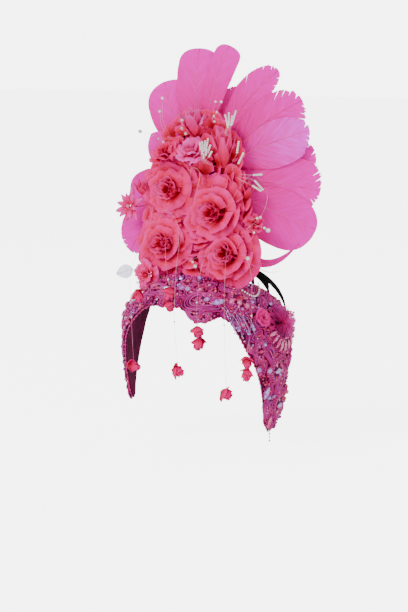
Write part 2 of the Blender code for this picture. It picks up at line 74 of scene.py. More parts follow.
# Studio: a pale matte floor just under the left tail's pendant, white air all round, and two large
# soft lamps, the stronger one high on the wearer's right. Four small lamps make the beads sparkle.
FLOOR_DROP = 12.4
FLOOR_CORNERS = ((-4, -4, 0), (4, -4, 0), (4, 6, 0), (-4, 6, 0))
LAMP_AIM = Vector((0, 0, 0.03))
LAMPS = (
    # name, place in metres, width, watts
    ("key_lamp", (-1.0, -1.5, 1.5), 0.8, 33),
    ("fill_lamp", (1.7, -1.1, 0.5), 1.2, 11),
    ("rim_lamp", (0.5, 1.6, 1.3), 1.0, 7),
    ("spark_lamp", (0.3, -1.9, 1.1), 0.12, 4),
    ("spark_lamp_left", (1.4, -1.2, 0.9), 0.07, 1.6),
    ("spark_lamp_low", (0.7, -1.8, -0.1), 0.07, 1.4),
    ("spark_lamp_right", (-1.0, -1.6, 0.3), 0.07, 1.4),
)
AIR_LIGHT, AIR_SEEN = 0.60, 6.0
FLOOR_GLOW, FLOOR_SEEN = 0.05, 4.9
WHITE, BLACK = (1, 1, 1, 1), (0, 0, 0, 1)


def feed(tree, socket, value):
    """Set a socket to a number or colour, or join another node's output to it."""
    if isinstance(value, bpy.types.NodeSocket):
        tree.links.new(value, socket)
    else:
        socket.default_value = value


def place(tree, kind, inputs=(), **settings):
    """Shader node with its settings and its inputs."""
    made = tree.nodes.new("ShaderNode" + kind)
    for label, value in settings.items():
        setattr(made, label, value)
    for label, value in dict(inputs).items():
        feed(tree, made.inputs[label], value)
    return made


def fill(made, **sockets):
    """Set or join the sockets of a material's shader."""
    shader = made.node_tree.nodes["Principled BSDF"]
    for label, value in sockets.items():
        feed(made.node_tree, shader.inputs[label.replace("_", " ")], value)
    return made


def finish(name, **sockets):
    """New material with plain values on its shader, and its tree."""
    made = bpy.data.materials.new(name)
    made.use_nodes = True
    return fill(made, **sockets), made.node_tree


def reckon(tree, how, *values):
    """Sum or product of numbers and other nodes' outputs."""
    return place(tree, "Math", enumerate(values), operation=how).outputs[0]


def blend(tree, factor, first, second):
    """Colour between two colours."""
    return place(tree, "Mix", {0: factor, 6: first, 7: second}, data_type="RGBA").outputs[2]


def glow(tree, light, seen):
    """Brightness of a ground that looks whiter in the picture than the light it throws."""
    ray = place(tree, "LightPath").outputs["Is Camera Ray"]
    return reckon(tree, "MULTIPLY_ADD", ray, seen - light, light)


world = bpy.data.worlds.new("studio_air")
world.use_nodes = True
air = world.node_tree.nodes["Background"].inputs
air["Color"].default_value = WHITE
feed(world.node_tree, air["Strength"], glow(world.node_tree, AIR_LIGHT, AIR_SEEN))
bpy.context.scene.world = world
for name, spot, width, watts in LAMPS:
    lamp = bpy.data.objects.new(name, bpy.data.lights.new(name, "AREA"))
    lamp.data.energy, lamp.data.size = watts, width
    lamp.location = spot
    lamp.rotation_euler = (Vector(spot) - LAMP_AIM).to_track_quat("Z", "Y").to_euler()
    show(lamp)

floor_mesh = bpy.data.meshes.new("floor")
floor_mesh.from_pydata(FLOOR_CORNERS, [], [(0, 1, 2, 3)])
floor = bpy.data.objects.new("floor", floor_mesh)
floor.location.z = cad_box[0][2] - FLOOR_DROP * MM
show(floor)
paper, tree = finish("floor_paper", Roughness=0.9, Emission_Color=WHITE)
mottle = place(tree, "TexNoise", {"Scale": 3.0}).outputs["Fac"]
fill(paper, Emission_Strength=glow(tree, FLOOR_GLOW, FLOOR_SEEN),
     Base_Color=blend(tree, mottle, (0.90, 0.90, 0.90, 1), (0.93, 0.93, 0.93, 1)))
floor_mesh.materials.append(paper)

# Felt cap and headband: pressed wool felt, black on the crown and wine red under the lace,
# cut to shape and steamed over a block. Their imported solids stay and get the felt.
COLOUR, NUMBER = "NodeSocketColor", "NodeSocketFloat"


def group(name, inputs, **outputs):
    """Empty shader group with its sockets, and the sockets of its two end nodes."""
    tree = bpy.data.node_groups.new(name, "ShaderNodeTree")
    for label, value in inputs.items():
        kind = COLOUR if isinstance(value, tuple) else NUMBER
        tree.interface.new_socket(label, in_out="INPUT", socket_type=kind).default_value = value
    for label, kind in outputs.items():
        tree.interface.new_socket(label, in_out="OUTPUT", socket_type=kind)
    return tree, tree.nodes.new("NodeGroupInput").outputs, tree.nodes.new("NodeGroupOutput").inputs


def use(tree, shared, **values):
    """Outputs of a shared group placed in a material."""
    return place(tree, "Group", values, node_tree=shared).outputs


def noise(tree, spot, scale, detail, roughness=0.5):
    """Cloudy value that changes from place to place."""
    return place(tree, "TexNoise", {"Vector": spot, "Scale": scale, "Detail": detail,
                                    "Roughness": roughness}).outputs["Fac"]


def surface(made, tint, height=None, depth=0.0004, strength=1.0, **more):
    """Give a material its colour and, where there is a height, its relief."""
    if height is not None:
        more["Normal"] = place(made.node_tree, "Bump", {"Height": height, "Distance": depth,
                                                        "Strength": strength}).outputs["Normal"]
    return fill(made, Base_Color=tint, **more)


fibre, given, out = group("fibre", {"Deep": BLACK, "Light": WHITE, "Scale": 200.0},
                          Colour=COLOUR, Height=NUMBER)
spot = place(fibre, "TexCoord").outputs["Object"]
fine = noise(fibre, spot, given["Scale"], 4.0, 0.7)
share = reckon(fibre, "MULTIPLY", fine, noise(fibre, spot, 60.0, 2.0))
spread = place(fibre, "MapRange", {"Value": share, "From Min": 0.12, "From Max": 0.40}).outputs[0]
feed(fibre, out["Colour"], blend(fibre, spread, given["Deep"], given["Light"]))
feed(fibre, out["Height"], fine)


def felt(name, deep, light):
    """Wool felt with its short matted fibres."""
    made, tree = finish(name, Roughness=0.95, Specular_IOR_Level=0.15)
    wool = use(tree, fibre, Deep=deep, Light=light, Scale=900.0)
    return surface(made, wool["Colour"], wool["Height"], 0.0004, 0.6)


def dress(node, material):
    """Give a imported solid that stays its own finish."""
    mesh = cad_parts[node].data
    mesh.materials.clear()
    mesh.materials.append(material)


dress("crown_base", felt("black_felt", (0.006, 0.006, 0.007, 1), (0.03, 0.03, 0.033, 1)))
dress("headband", felt("wine_felt", (0.05, 0.0, 0.016, 1), (0.20, 0.001, 0.07, 1)))

# Shield: an upright oval of black buckram, an open weave stiffened with size, which stands on the
# cap and carries the flowers and feathers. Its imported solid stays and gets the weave.
weave, given, out = group("weave", {"Scale": 1.0}, Height=NUMBER)
spot = place(weave, "TexCoord").outputs["Object"]
threads = [place(weave, "TexWave", {"Vector": spot, "Scale": given["Scale"], "Distortion": 0.6,
                                    "Detail": 1.0}, bands_direction=way).outputs["Fac"] for way in "XYZ"]
feed(weave, out["Height"], reckon(weave, "MULTIPLY", reckon(weave, "MAXIMUM", *threads[:2]), threads[2]))


def woven(name, deep, light, scale, roughness, depth=0.0004, gloss=0.06):
    """Cloth whose threads stand up, with painted shade in the gaps: the gaps are coloured darker than the
    threads.
    """
    made, tree = finish(name, Roughness=roughness, Specular_IOR_Level=gloss)
    height = use(tree, weave, Scale=scale)["Height"]
    # Painted shade: the weave's height picks the colour, so the recesses between threads take the deep
    # colour.
    return surface(made, blend(tree, height, deep, light), height, depth)


dress("crown_panel", woven("buckram", (0.004, 0.004, 0.005, 1), (0.03, 0.03, 0.032, 1), 160.0, 0.8, 0.0005))

# Beads on the band: glass rounds, cut crystals, cupped sequins and small pearls, sewn one by one
# over the wine felt between the lace motifs.
HEAD_HALF_WIDTH, HEAD_HALF_LENGTH = 78.0, 100.0
HEAD_DOME, DOME_DOWN = 72.0, 125.0
FACE_NARROWING = 0.10
JAW_TAPER, JAW_SPAN = 0.20, 100.0
BAND_WALL = 2.6
BAND_ROWS = (
    # front_turn, front_down, rear_turn, rear_down
    (-67, 187, -73, 185), (-62, 178, -82, 168), (-59, 168, -90, 148), (-57, 157, -97, 127),
    (-55, 144, -101, 106), (-52, 130, -100, 84), (-47, 116, -90, 62), (-41, 103, -75, 50),
    (-35, 93, -60, 46), (-29, 84, -45, 42), (-20, 78, -30, 38), (-10, 76, -14, 38), (0, 77, 0, 38),
    (12, 77, 14, 38), (24, 87, 30, 38), (35, 93, 45, 42), (45, 88, 60, 46), (52, 95, 75, 50),
    (57, 110, 92, 62), (62, 126, 105, 84), (67, 138, 110, 108), (71, 150, 107, 128),
    (75, 165, 105, 148), (78.5, 181, 104, 168), (81.5, 194, 104.5, 188), (84, 206, 104, 203),
    (91, 215, 98, 213),
)
LAST_ROW = len(BAND_ROWS) - 1
BEAD_APART, BEAD_TRIES = 2.7, 26000
LEAF_APART, LEAF_TRIES, LEAF_CLEAR = 14.5, 6000, 6.5
PATCH_HIDES, DAHLIA_HIDES = 0.72, 0.6
RUBY, VIOLET, LILAC, PEARL, FOIL = range(5)
JEWELS = (RUBY, PEARL, FOIL)


def laps(count):
    """Angles of even steps once round."""
    return [2 * math.pi * k / count for k in range(count)]


def head_skin(turn, down):
    """Point on the head; turn is 0 at the face and 90 at the wearer's left ear."""
    if down < DOME_DOWN:
        rise = math.pi / 2 * (1 - down / DOME_DOWN)
        share, height = math.cos(rise), HEAD_DOME * (math.sin(rise) - 1)
    else:
        share = 1 - JAW_TAPER * ((down - DOME_DOWN) / JAW_SPAN) ** 2
        height = DOME_DOWN - HEAD_DOME - down
    angle = math.radians(turn)
    half_width = HEAD_HALF_WIDTH * (1 - FACE_NARROWING * math.cos(angle))
    return Vector((half_width * share * math.sin(angle),
                   -HEAD_HALF_LENGTH * share * math.cos(angle), height))


def head_along(turn, down):
    """Way round the head, as long as two degrees of turn."""
    return head_skin(turn + 1, down) - head_skin(turn - 1, down)


def head_degree(turn, down):
    return (head_skin(turn + 1, down) - head_skin(turn, down)).length


def head_out(turn, down):
    return (head_skin(turn, down + 1) - head_skin(turn, down - 1)).cross(head_along(turn, down)).normalized()


def head_point(turn, down, lift):
    return head_skin(turn, down) + head_out(turn, down) * lift


def band_place(row, share):
    """Turn and down of a place on the band, at a share of its width from the front edge."""
    low = max(0, min(int(row), LAST_ROW - 1))
    ft, fd, rt, rd = [a + (b - a) * (row - low) for a, b in zip(BAND_ROWS[low], BAND_ROWS[low + 1])]
    return ft + (rt - ft) * share, fd + (rd - fd) * share


class Work:
    """One piece in the making: points in millimetres, faces, and each face's finish."""

    def __init__(self):
        self.points, self.spots, self.faces, self.kinds, self.soft = [], [], [], [], []

    def add(self, points, faces, kind=0, soft=True, spots=None):
        first = len(self.points)
        self.points += points
        self.spots += spots or [(0.5, 0.5)] * len(points)
        self.faces += [[first + k for k in face] for face in faces]
        self.kinds += [kind] * len(faces)
        self.soft += [soft] * len(faces)

    def make(self, name, finishes, slot, *replaced):
        mesh = bpy.data.meshes.new(name)
        mesh.from_pydata([point * MM for point in self.points], [], self.faces)
        for made in finishes:
            mesh.materials.append(made)
        mesh.polygons.foreach_set("material_index", self.kinds)
        mesh.polygons.foreach_set("use_smooth", self.soft)
        flat = [value for loop in mesh.loops for value in self.spots[loop.vertex_index]]
        mesh.uv_layers.new(name="surface").data.foreach_set("uv", flat)
        mesh.update()
        piece = bpy.data.objects.new(name, mesh)
        show(piece)
        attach(piece, "root")
        if replaced:
            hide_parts(*replaced)


def turned(profile, sides, pointed=0.0):
    """Bead shape turned from (radius, height) steps; pointed draws its ends out along X."""
    points, faces, first = [], [], []
    for radius, height in profile:
        first.append(len(points))
        for angle in laps(sides) if radius else ():
            reach = radius * (1 + pointed * abs(math.cos(angle)) ** 6)
            points.append((reach * math.cos(angle), radius * math.sin(angle), height))
        if not radius:
            points.append((0, 0, height))
    for (low, _), (high, _), a, b in zip(profile, profile[1:], first, first[1:]):
        for k in range(sides):
            following = (k + 1) % sides
            faces.append((a, b + k, b + following) if low == 0 else (a + k, a + following, b) if high == 0
                         else (a + k, a + following, b + following, b + k))
    return points, faces


def stamp(work, shape, centre, axis, size, kind=0, soft=True, heading=None):
    """Set a bead shape down, its height along an axis; size is its radius or three half measures."""
    z = axis.normalized()
    x = heading - z * heading.dot(z) if heading else z.orthogonal()
    x.normalize()
    y = z.cross(x)
    sx, sy, sz = size if isinstance(size, tuple) else (size,) * 3
    points, faces = shape
    work.add([centre + x * (a * sx) + y * (b * sy) + z * (c * sz) for a, b, c in points], faces, kind, soft)


ROUND = turned([(0, -1), (0.70, -0.70), (1, 0), (0.70, 0.70), (0, 1)], 8)
CRYSTAL = turned([(0, -0.8), (1, -0.25), (1, 0.25), (0.45, 0.8), (0, 0.8)], 6)
SEQUIN = turned([(1, 0.32), (0.62, 0.02), (0.18, 0)], 10)
MARQUISE = turned([(0.8, 0), (1, 0.35), (0.62, 0.85), (0.3, 1), (0, 1)], 8, 0.35)

place_tint, given, out = group("place_tint", {"First": (1, 0, 0, 1), "Second": (0, 0, 1, 1), "Scale": 250.0},
                               Colour=COLOUR, Mask=NUMBER)
cells = noise(place_tint, place(place_tint, "TexCoord").outputs["Object"], given["Scale"], 1.0)
mask = place(place_tint, "MapRange", {"Value": cells, "From Min": 0.38, "From Max": 0.62}).outputs[0]
feed(place_tint, out["Colour"], blend(place_tint, mask, given["First"], given["Second"]))
feed(place_tint, out["Mask"], mask)


def glass(name, first, second, scale, roughness, coat):
    """Coloured glass or lustre that changes from bead to bead."""
    made, tree = finish(name, Coat_Weight=coat, Coat_Roughness=0.05, Specular_IOR_Level=0.8)
    tint = use(tree, place_tint, First=first, Second=second, Scale=scale)
    gloss = place(tree, "MapRange", {"Value": tint["Mask"], "To Min": roughness, "To Max": roughness * 1.8})
    return surface(made, tint["Colour"], Roughness=gloss.outputs[0])


BEAD_FINISHES = tuple(glass(*row) for row in (
    ("ruby_glass", (0.40, 0.0, 0.05, 1), (0.72, 0.0, 0.17, 1), 320.0, 0.14, 0.3),
    ("violet_glass", (0.30, 0.0, 0.16, 1), (0.42, 0.01, 0.36, 1), 300.0, 0.14, 0.3),
    ("lilac_crystal", (0.40, 0.08, 0.58, 1), (0.68, 0.44, 0.94, 1), 420.0, 0.08, 1.0),
    ("rose_pearl", (0.78, 0.01, 0.24, 1), (0.90, 0.24, 0.48, 1), 300.0, 0.22, 0.4),
    ("pink_foil", (0.46, 0.0, 0.13, 1), (0.66, 0.0, 0.28, 1), 260.0, 0.28, 0.2),
))

LACE = (
    # node, turn, down, half width, half height, height scale
    ("lace_brow_right", -37, 65, 10, 13, 1.2),
    ("lace_brow_centre", -10, 60, 9.5, 13, 1.0),
    ("lace_brow_left", 13, 50, 8, 10, 1.1),
    ("lace_marquise", 34, 72, 12, 11, 1.2),
    ("lace_peak", 30, 89.5, 9, 5.5, 0.8),
    ("lace_temple_left", 61, 74, 14, 16, 1.1),
    ("lace_cheek_left", 70.5, 129, 8, 12, 1.0),
    ("lace_jaw_left", 86, 152, 13, 15, 1.2),
    ("lace_tail_left", 93, 188, 12, 15, 1.2),
    ("lace_temple_right", -60, 90, 17, 20, 1.7),
    ("lace_cheek_right", -75, 136, 16, 20, 1.5),
)
DAHLIA, DAHLIA_RADIUS = (92, 108), 24

luck = random.Random("beads")
covered = [(head_point(turn, down, BAND_WALL), PATCH_HIDES * min(wide, high))
           for _, turn, down, wide, high, _ in LACE]
covered.append((head_point(*DAHLIA, BAND_WALL), DAHLIA_HIDES * DAHLIA_RADIUS))
leaves = []
for _ in range(LEAF_TRIES):
    turn, down = band_place(luck.uniform(0.4, LAST_ROW - 0.4), luck.uniform(0.10, 0.90))
    centre = head_point(turn, down, BAND_WALL)
    if all((other[0] - centre).length > LEAF_APART for other in leaves) and all(
            (middle - centre).length > reach + LEAF_CLEAR for middle, reach in covered):
        leaves.append((centre, turn, down, luck.uniform(0, 2 * math.pi), luck.uniform(7.0, 9.4)))
covered += [(centre, PATCH_HIDES * size) for centre, _, _, _, size in leaves]

beads = Work()
taken = {}
for _ in range(BEAD_TRIES):
    turn, down = band_place(luck.uniform(0.05, LAST_ROW - 0.05), luck.uniform(0.01, 0.99))
    centre = head_point(turn, down, BAND_WALL)
    cell = tuple(int(value // BEAD_APART) for value in centre)
    near = [other for i in (-1, 0, 1) for j in (-1, 0, 1) for k in (-1, 0, 1)
            for other in taken.get((cell[0] + i, cell[1] + j, cell[2] + k), ())]
    if any((other - centre).length < BEAD_APART for other in near) or any(
            (middle - centre).length < reach for middle, reach in covered):
        continue
    taken.setdefault(cell, []).append(centre)
    normal = head_out(turn, down)
    tilt = (normal + Vector([luck.uniform(-0.4, 0.4) for _ in range(3)])).normalized()
    zone = math.sin(centre.x / 9 + 1.3) + math.sin(centre.z / 8 + centre.y / 11) + luck.uniform(-0.7, 0.7)
    choice, size = luck.random(), luck.choice((0.9, 1.1, 1.3, 1.7))
    if choice < 0.34:
        stamp(beads, SEQUIN, centre + normal * 0.7, tilt, (size * 1.8, size * 1.8, size * 1.4),
              VIOLET if zone > 0.9 else FOIL)
    elif choice < 0.86:
        stamp(beads, ROUND, centre + normal * size * 0.8, tilt, size, VIOLET if zone > 0.5 else RUBY)
    elif choice < 0.94:
        stamp(beads, ROUND, centre + normal * size * 0.9, tilt, size * 0.9, PEARL)
    elif zone > 0:
        stamp(beads, CRYSTAL, centre + normal * size * 1.1, tilt, size * 1.3, LILAC, False)
beads.make("band_beads", BEAD_FINISHES, "lace_beads")

# Lace edge: a fine gimp cord worked in small loops along both edges of the felt, so that the
# band ends in scallops and not in a cut line.
EDGE_PITCH, EDGE_REACH, EDGE_LIFT = 5.2, 2.0, 1.9
EDGE_LOOP_STEPS, EDGE_OVERLAP = 8, 0.62
EDGE_ROOT = BAND_WALL * 0.6
GIMP_RADIUS = 0.6
GIMP = len(BEAD_FINISHES)


def quads(rows, columns, whole=True):
    """Faces of a net of points, row after row; a whole net joins each row's end to its start."""
    return [(row * columns + k, row * columns + (k + 1) % columns,
             (row + 1) * columns + (k + 1) % columns, (row + 1) * columns + k)
            for row in range(rows) for k in range(columns if whole else columns - 1)]


def tube(work, path, radii, sides, kind=0, closed=False):
    """Round cord along a path, each ring turned as little as possible from the one before."""
    count = len(path)
    axis = (path[1] - path[0]).normalized()
    side = axis.orthogonal().normalized()
    points = []
    for k, middle in enumerate(path):
        before = path[k - 1] if closed or k else middle
        after = path[(k + 1) % count] if closed or k < count - 1 else middle
        ahead = (after - before).normalized()
        side = axis.rotation_difference(ahead) @ side
        axis = ahead
        other = axis.cross(side)
        radius = radii[k] if isinstance(radii, list) else radii
        points += [middle + (side * math.cos(angle) + other * math.sin(angle)) * radius
                   for angle in laps(sides)]
    if closed:
        faces = [[k % len(points) for k in face] for face in quads(count, sides)]
    else:
        ends = [tuple(range(sides))[::-1], tuple(range(len(points) - sides, len(points)))]
        faces = quads(count - 1, sides) + ends
    work.add(points, faces, kind)


def tinted(name, first, second, scale, threads=0.0, **sockets):
    """Finish whose colour drifts between two tints, finely woven where threads are given."""
    made, tree = finish(name, **sockets)
    tint = use(tree, place_tint, First=first, Second=second, Scale=scale)["Colour"]
    return surface(made, tint, use(tree, weave, Scale=threads)["Height"] if threads else None, 0.0003)


gimp_thread, violet_gimp = [tinted(*row, 45.0, 320.0, Roughness=0.42, Specular_IOR_Level=0.4) for row in (
    ("gimp_thread", (0.76, 0.0, 0.20, 1), (0.56, 0.0, 0.25, 1)),
    ("violet_gimp", (0.46, 0.02, 0.38, 1), (0.72, 0.07, 0.42, 1)))]

edge = Work()
for share, way in ((0.0, -1), (1.0, 1)):
    row = 0.1
    while row < LAST_ROW - 0.1:
        here = head_point(*band_place(row, share), EDGE_ROOT)
        pace = (head_point(*band_place(row + 0.02, share), EDGE_ROOT) - here).length / 0.02
        rear, front = [head_point(*band_place(row, side), BAND_WALL) for side in (1, 0)]
        width = (rear - front).length
        step = EDGE_PITCH / pace
        loop = []
        for k in range(EDGE_LOOP_STEPS):
            angle = math.pi * k / (EDGE_LOOP_STEPS - 1)
            out_share = share + way * (EDGE_REACH * math.sin(angle) - 0.8) / width
            out_row = row + step * (0.5 - EDGE_OVERLAP * math.cos(angle))
            loop.append(head_point(*band_place(out_row, out_share), EDGE_LIFT))
        tube(edge, loop, GIMP_RADIUS, 5, GIMP)
        crest = (loop[3] + loop[4]) / 2
        stamp(edge, ROUND, crest, crest - here, 1.0, (RUBY, FOIL, VIOLET)[int(row * 40) % 3])
        row += step
edge.make("band_lace_edge", BEAD_FINISHES + (gimp_thread,), "lace_beads")

# Corded leaves: paisley outlines of gimp cord in three nested rows, sewn between the larger
# motifs, each with a small net ground and a drop bead in its eye.
TULLE, CORD, VIOLET_CORD = range(5, 8)
LEAF_STEPS = 26
LEAF_ROWS = ((1.0, 0.9, CORD), (0.72, 1.5, VIOLET_CORD), (0.46, 2.0, CORD))
LEAF_CORD, LEAF_SLIMNESS, LEAF_POINT, LEAF_BEND, LEAF_EYE = 0.58, 0.62, 0.45, 0.10, 0.25
# The tulle is dark partly as its own wine colour and partly as painted shade in the gaps between the cords
# laid over it.
tulle = woven("tulle", (0.07, 0.0, 0.025, 1), (0.34, 0.0, 0.12, 1), 260.0, 0.7, gloss=0.2)
LACE_FINISHES = BEAD_FINISHES + (tulle, gimp_thread, violet_gimp)

work = Work()
for centre, turn, down, heading, size in leaves:
    normal = head_out(turn, down)
    east = head_along(turn, down).normalized()
    along = east * math.cos(heading) + east.cross(normal) * math.sin(heading)
    aside = along.cross(normal)
    ground = []
    for reach, lift, kind in LEAF_ROWS:
        ring = []
        for angle in laps(LEAF_STEPS):
            ahead = size * (reach * math.cos(angle) - LEAF_EYE * (1 - reach))
            wide = size * reach * LEAF_SLIMNESS * math.sin(angle) * (1 - LEAF_POINT * math.cos(angle))
            wide += LEAF_BEND * ahead * ahead / size
            ring.append(centre + along * ahead + aside * wide + normal * lift)
        tube(work, ring, LEAF_CORD, 5, kind, True)
        ground += [point - normal * 0.2 for point in ring]
    eye = centre - along * LEAF_EYE * size + normal * 1.6
    inner = [(a, b, 3 * LEAF_STEPS) for a, b, _, _ in quads(3, LEAF_STEPS)[2 * LEAF_STEPS:]]
    work.add(ground + [eye - normal * 0.2], quads(2, LEAF_STEPS) + inner, TULLE)
    stamp(work, MARQUISE, eye, normal, (size * 0.26, size * 0.17, 1.2), JEWELS[int(size * 50) % 3],
          False, along)
work.make("band_corded_leaves", LACE_FINISHES, "lace_beads")

# Lace motifs: each is a patch of tulle with nested rows of corded piping, seed beads between the
# rows, drop-shaped stones in its lobes and a large cut crystal in the middle.
PATCH_STEPS, MOTIF_LOBES, LOBE_DEPTH, MOTIF_CLEAR = 36, 6, 0.15, 0.5
PATCH_RINGS = ((1.02, 0.1), (0.85, 1.2), (0.55, 2.2), (0.2, 2.8))
CORD_ROWS = ((1.0, 0.9, CORD), (0.88, 1.5, VIOLET_CORD), (0.72, 2.2, CORD), (0.58, 2.6, VIOLET_CORD))
SEED_ROWS = ((0.95, 1.3, RUBY, 0.8), (0.80, 2.0, FOIL, 0.9), (0.65, 2.5, PEARL, 0.7))
CORD_RADIUS, SEED_PITCH, STONE_LIFT = 0.55, 2.6, 2.9
LILAC_MOTIFS = ("lace_marquise", "lace_brow_centre", "lace_jaw_left", "lace_tail_left")
for name, turn, down, wide, high, scale in LACE:
    luck = random.Random(name)
    degree, step = head_degree(turn, down), (head_skin(turn, down + 1) - head_skin(turn, down)).length

    def spot_on(reach, angle, lift):
        """Point on the motif at a share of its radius."""
        radius = reach * (1 + LOBE_DEPTH * reach * math.cos(MOTIF_LOBES * angle))
        return head_point(turn + radius * wide * math.cos(angle) / degree,
                          down + radius * high * math.sin(angle) / step,
                          BAND_WALL + MOTIF_CLEAR + lift * scale)

    work = Work()
    normal = head_out(turn, down)
    angles = laps(PATCH_STEPS)
    work.add([spot_on(reach, angle, lift) for reach, lift in PATCH_RINGS for angle in angles],
             quads(len(PATCH_RINGS) - 1, PATCH_STEPS), TULLE)
    for reach, lift, kind in CORD_ROWS:
        tube(work, [spot_on(reach, angle, lift) for angle in angles], CORD_RADIUS, 6, kind, True)
    for reach, lift, kind, radius in SEED_ROWS:
        for angle in laps(int(2 * math.pi * reach * (wide + high) / 2 / SEED_PITCH)):
            stamp(work, ROUND, spot_on(reach, angle, lift), normal, radius, kind)
    for angle in laps(MOTIF_LOBES):
        outward = spot_on(0.6, angle, STONE_LIFT) - spot_on(0.3, angle, STONE_LIFT)
        long = 0.15 * (wide + high) / 2
        stamp(work, MARQUISE, spot_on(0.46, angle, STONE_LIFT), normal, (long, long * 0.62, 1.3),
              luck.choice(JEWELS), False, outward)
    size = 0.17 * (wide + high)
    stamp(work, MARQUISE, spot_on(0, 0, 2.4), normal, (size * 0.75, size * 0.6, 3.0),
          LILAC if name in LILAC_MOTIFS else RUBY, False,
          head_skin(turn + 1, down) - head_skin(turn, down + 0.4))
    work.make(name + "_beadwork", LACE_FINISHES, "lace_beads", name)

# Overlaid leaves: large pointed leaves of tulle edged with rows of gimp cord, laid over the smaller
# lace where the band shows most and caught down along their outer cords.
LARGE_LEAVES = (
    # turn, down, half length, half width, heading in degrees
    (31, 74, 19, 9.5, 16), (24, 86, 9, 6.0, 200), (-19, 62, 14, 7.5, -8), (57, 60, 12, 6.5, 35),
    (-44, 76, 12, 7.0, 140), (-60, 104, 13, 7.0, 100), (-70, 140, 12, 6.5, 80), (79, 134, 12, 6.0, 60),
    (90, 166, 14, 7.0, 112), (80, 190, 10, 5.0, 80), (95, 196, 10, 5.0, 100),
)
LARGE_ROWS = ((1.0, 3.0, CORD), (0.86, 3.6, VIOLET_CORD), (0.72, 4.0, CORD), (0.58, 4.2, VIOLET_CORD))
LARGE_STEPS, LARGE_CORD, LARGE_BEADS = 34, 0.62, 9
work = Work()
for turn, down, long, wide, degrees in LARGE_LEAVES:
    pace, heading = head_degree(turn, down), math.radians(degrees)

    def leaf_spot(reach, angle, lift):
        """Place on a leaf at a share of its size, its point ahead and its end rounded."""
        ahead = long * reach * math.cos(angle) - 0.15 * long * (1 - reach)
        aside = wide * reach * math.sin(angle) * (1 - 0.5 * math.cos(angle)) + 0.25 * ahead * ahead / long
        return head_point(turn + (ahead * math.cos(heading) - aside * math.sin(heading)) / pace,
                          down + ahead * math.sin(heading) + aside * math.cos(heading), BAND_WALL + lift)

    for reach, lift, kind in LARGE_ROWS:
        tube(work, [leaf_spot(reach, angle, lift) for angle in laps(LARGE_STEPS)], LARGE_CORD, 5, kind, True)
    work.add([leaf_spot(reach, angle, lift - 0.3)
              for reach, lift, _ in LARGE_ROWS for angle in laps(LARGE_STEPS)],
             quads(len(LARGE_ROWS) - 1, LARGE_STEPS), TULLE)
    for k in range(LARGE_BEADS):
        stamp(work, ROUND, leaf_spot(0.42 - 0.09 * k, 0.0, 4.2), head_out(turn, down), 1.0, JEWELS[k % 3])
work.make("band_overlaid_leaves", LACE_FINISHES, "lace_beads")

# Straps: flat ribbed black elastic sewn on the cap's rim and under the band's rear edge. The ones
# on the wearer's left have rolled over on the way, so that their flat sides show from the front.
CAP_DOWN, CAP_FORWARD, STRAP_TUCK = 29.0, 5.0, 3
STRAP_HALF_WIDTH, STRAP_HALF_WALL = 4.7, 0.5
STRAP_TWIST_ENDS, STRAP_STEPS = 0.28, 20
STRAP_OUTLINE = ((-1, -1), (-1, 1), (0, 1.2), (1, 1), (1, -1), (0, -0.8))
STRAPS = (
    # node, turn at the cap's rim, row at the band's rear edge, roll towards the front in degrees
    ("strap_left_front", 106, 17.70, 74), ("strap_left_mid", 126, 18.45, 62),
    ("strap_left_rear", 146, 19.60, 30),
    ("strap_right_front", -106, 5.55, -20), ("strap_right_rear", -140, 4.45, -12),
)
elastic = woven("ribbed_elastic", (0.004, 0.004, 0.005, 1), (0.011, 0.011, 0.012, 1), 220.0, 0.85)
for name, turn, row, roll in STRAPS:
    work = Work()
    first = Vector((turn, CAP_DOWN + CAP_FORWARD * math.cos(math.radians(turn)) - STRAP_TUCK))
    way = Vector(band_place(row, 0.96)) - first
    points = []
    for k in range(STRAP_STEPS + 1):
        share = k / STRAP_STEPS
        spot = first + way * share
        ahead = (head_skin(*(spot + way * 0.02)) - head_skin(*spot)).normalized()
        normal = head_out(*spot)
        lean = math.radians(roll) * abs(math.sin(math.pi * share)) ** STRAP_TWIST_ENDS
        across = Matrix.Rotation(-lean, 3, ahead) @ normal.cross(ahead)
        face = across.cross(ahead)
        middle = head_skin(*spot) + normal * (1.6 - 0.8 * share + STRAP_HALF_WIDTH * abs(math.sin(lean)))
        points += [middle + across * a * STRAP_HALF_WIDTH + face * b * STRAP_HALF_WALL
                   for a, b in STRAP_OUTLINE]
    sides = len(STRAP_OUTLINE)
    ends = [tuple(range(sides)), tuple(range(len(points) - sides, len(points)))[::-1]]
    work.add(points, quads(STRAP_STEPS, sides) + ends, 0, False)
    work.make(name + "_elastic", (elastic,), "elastic", name)

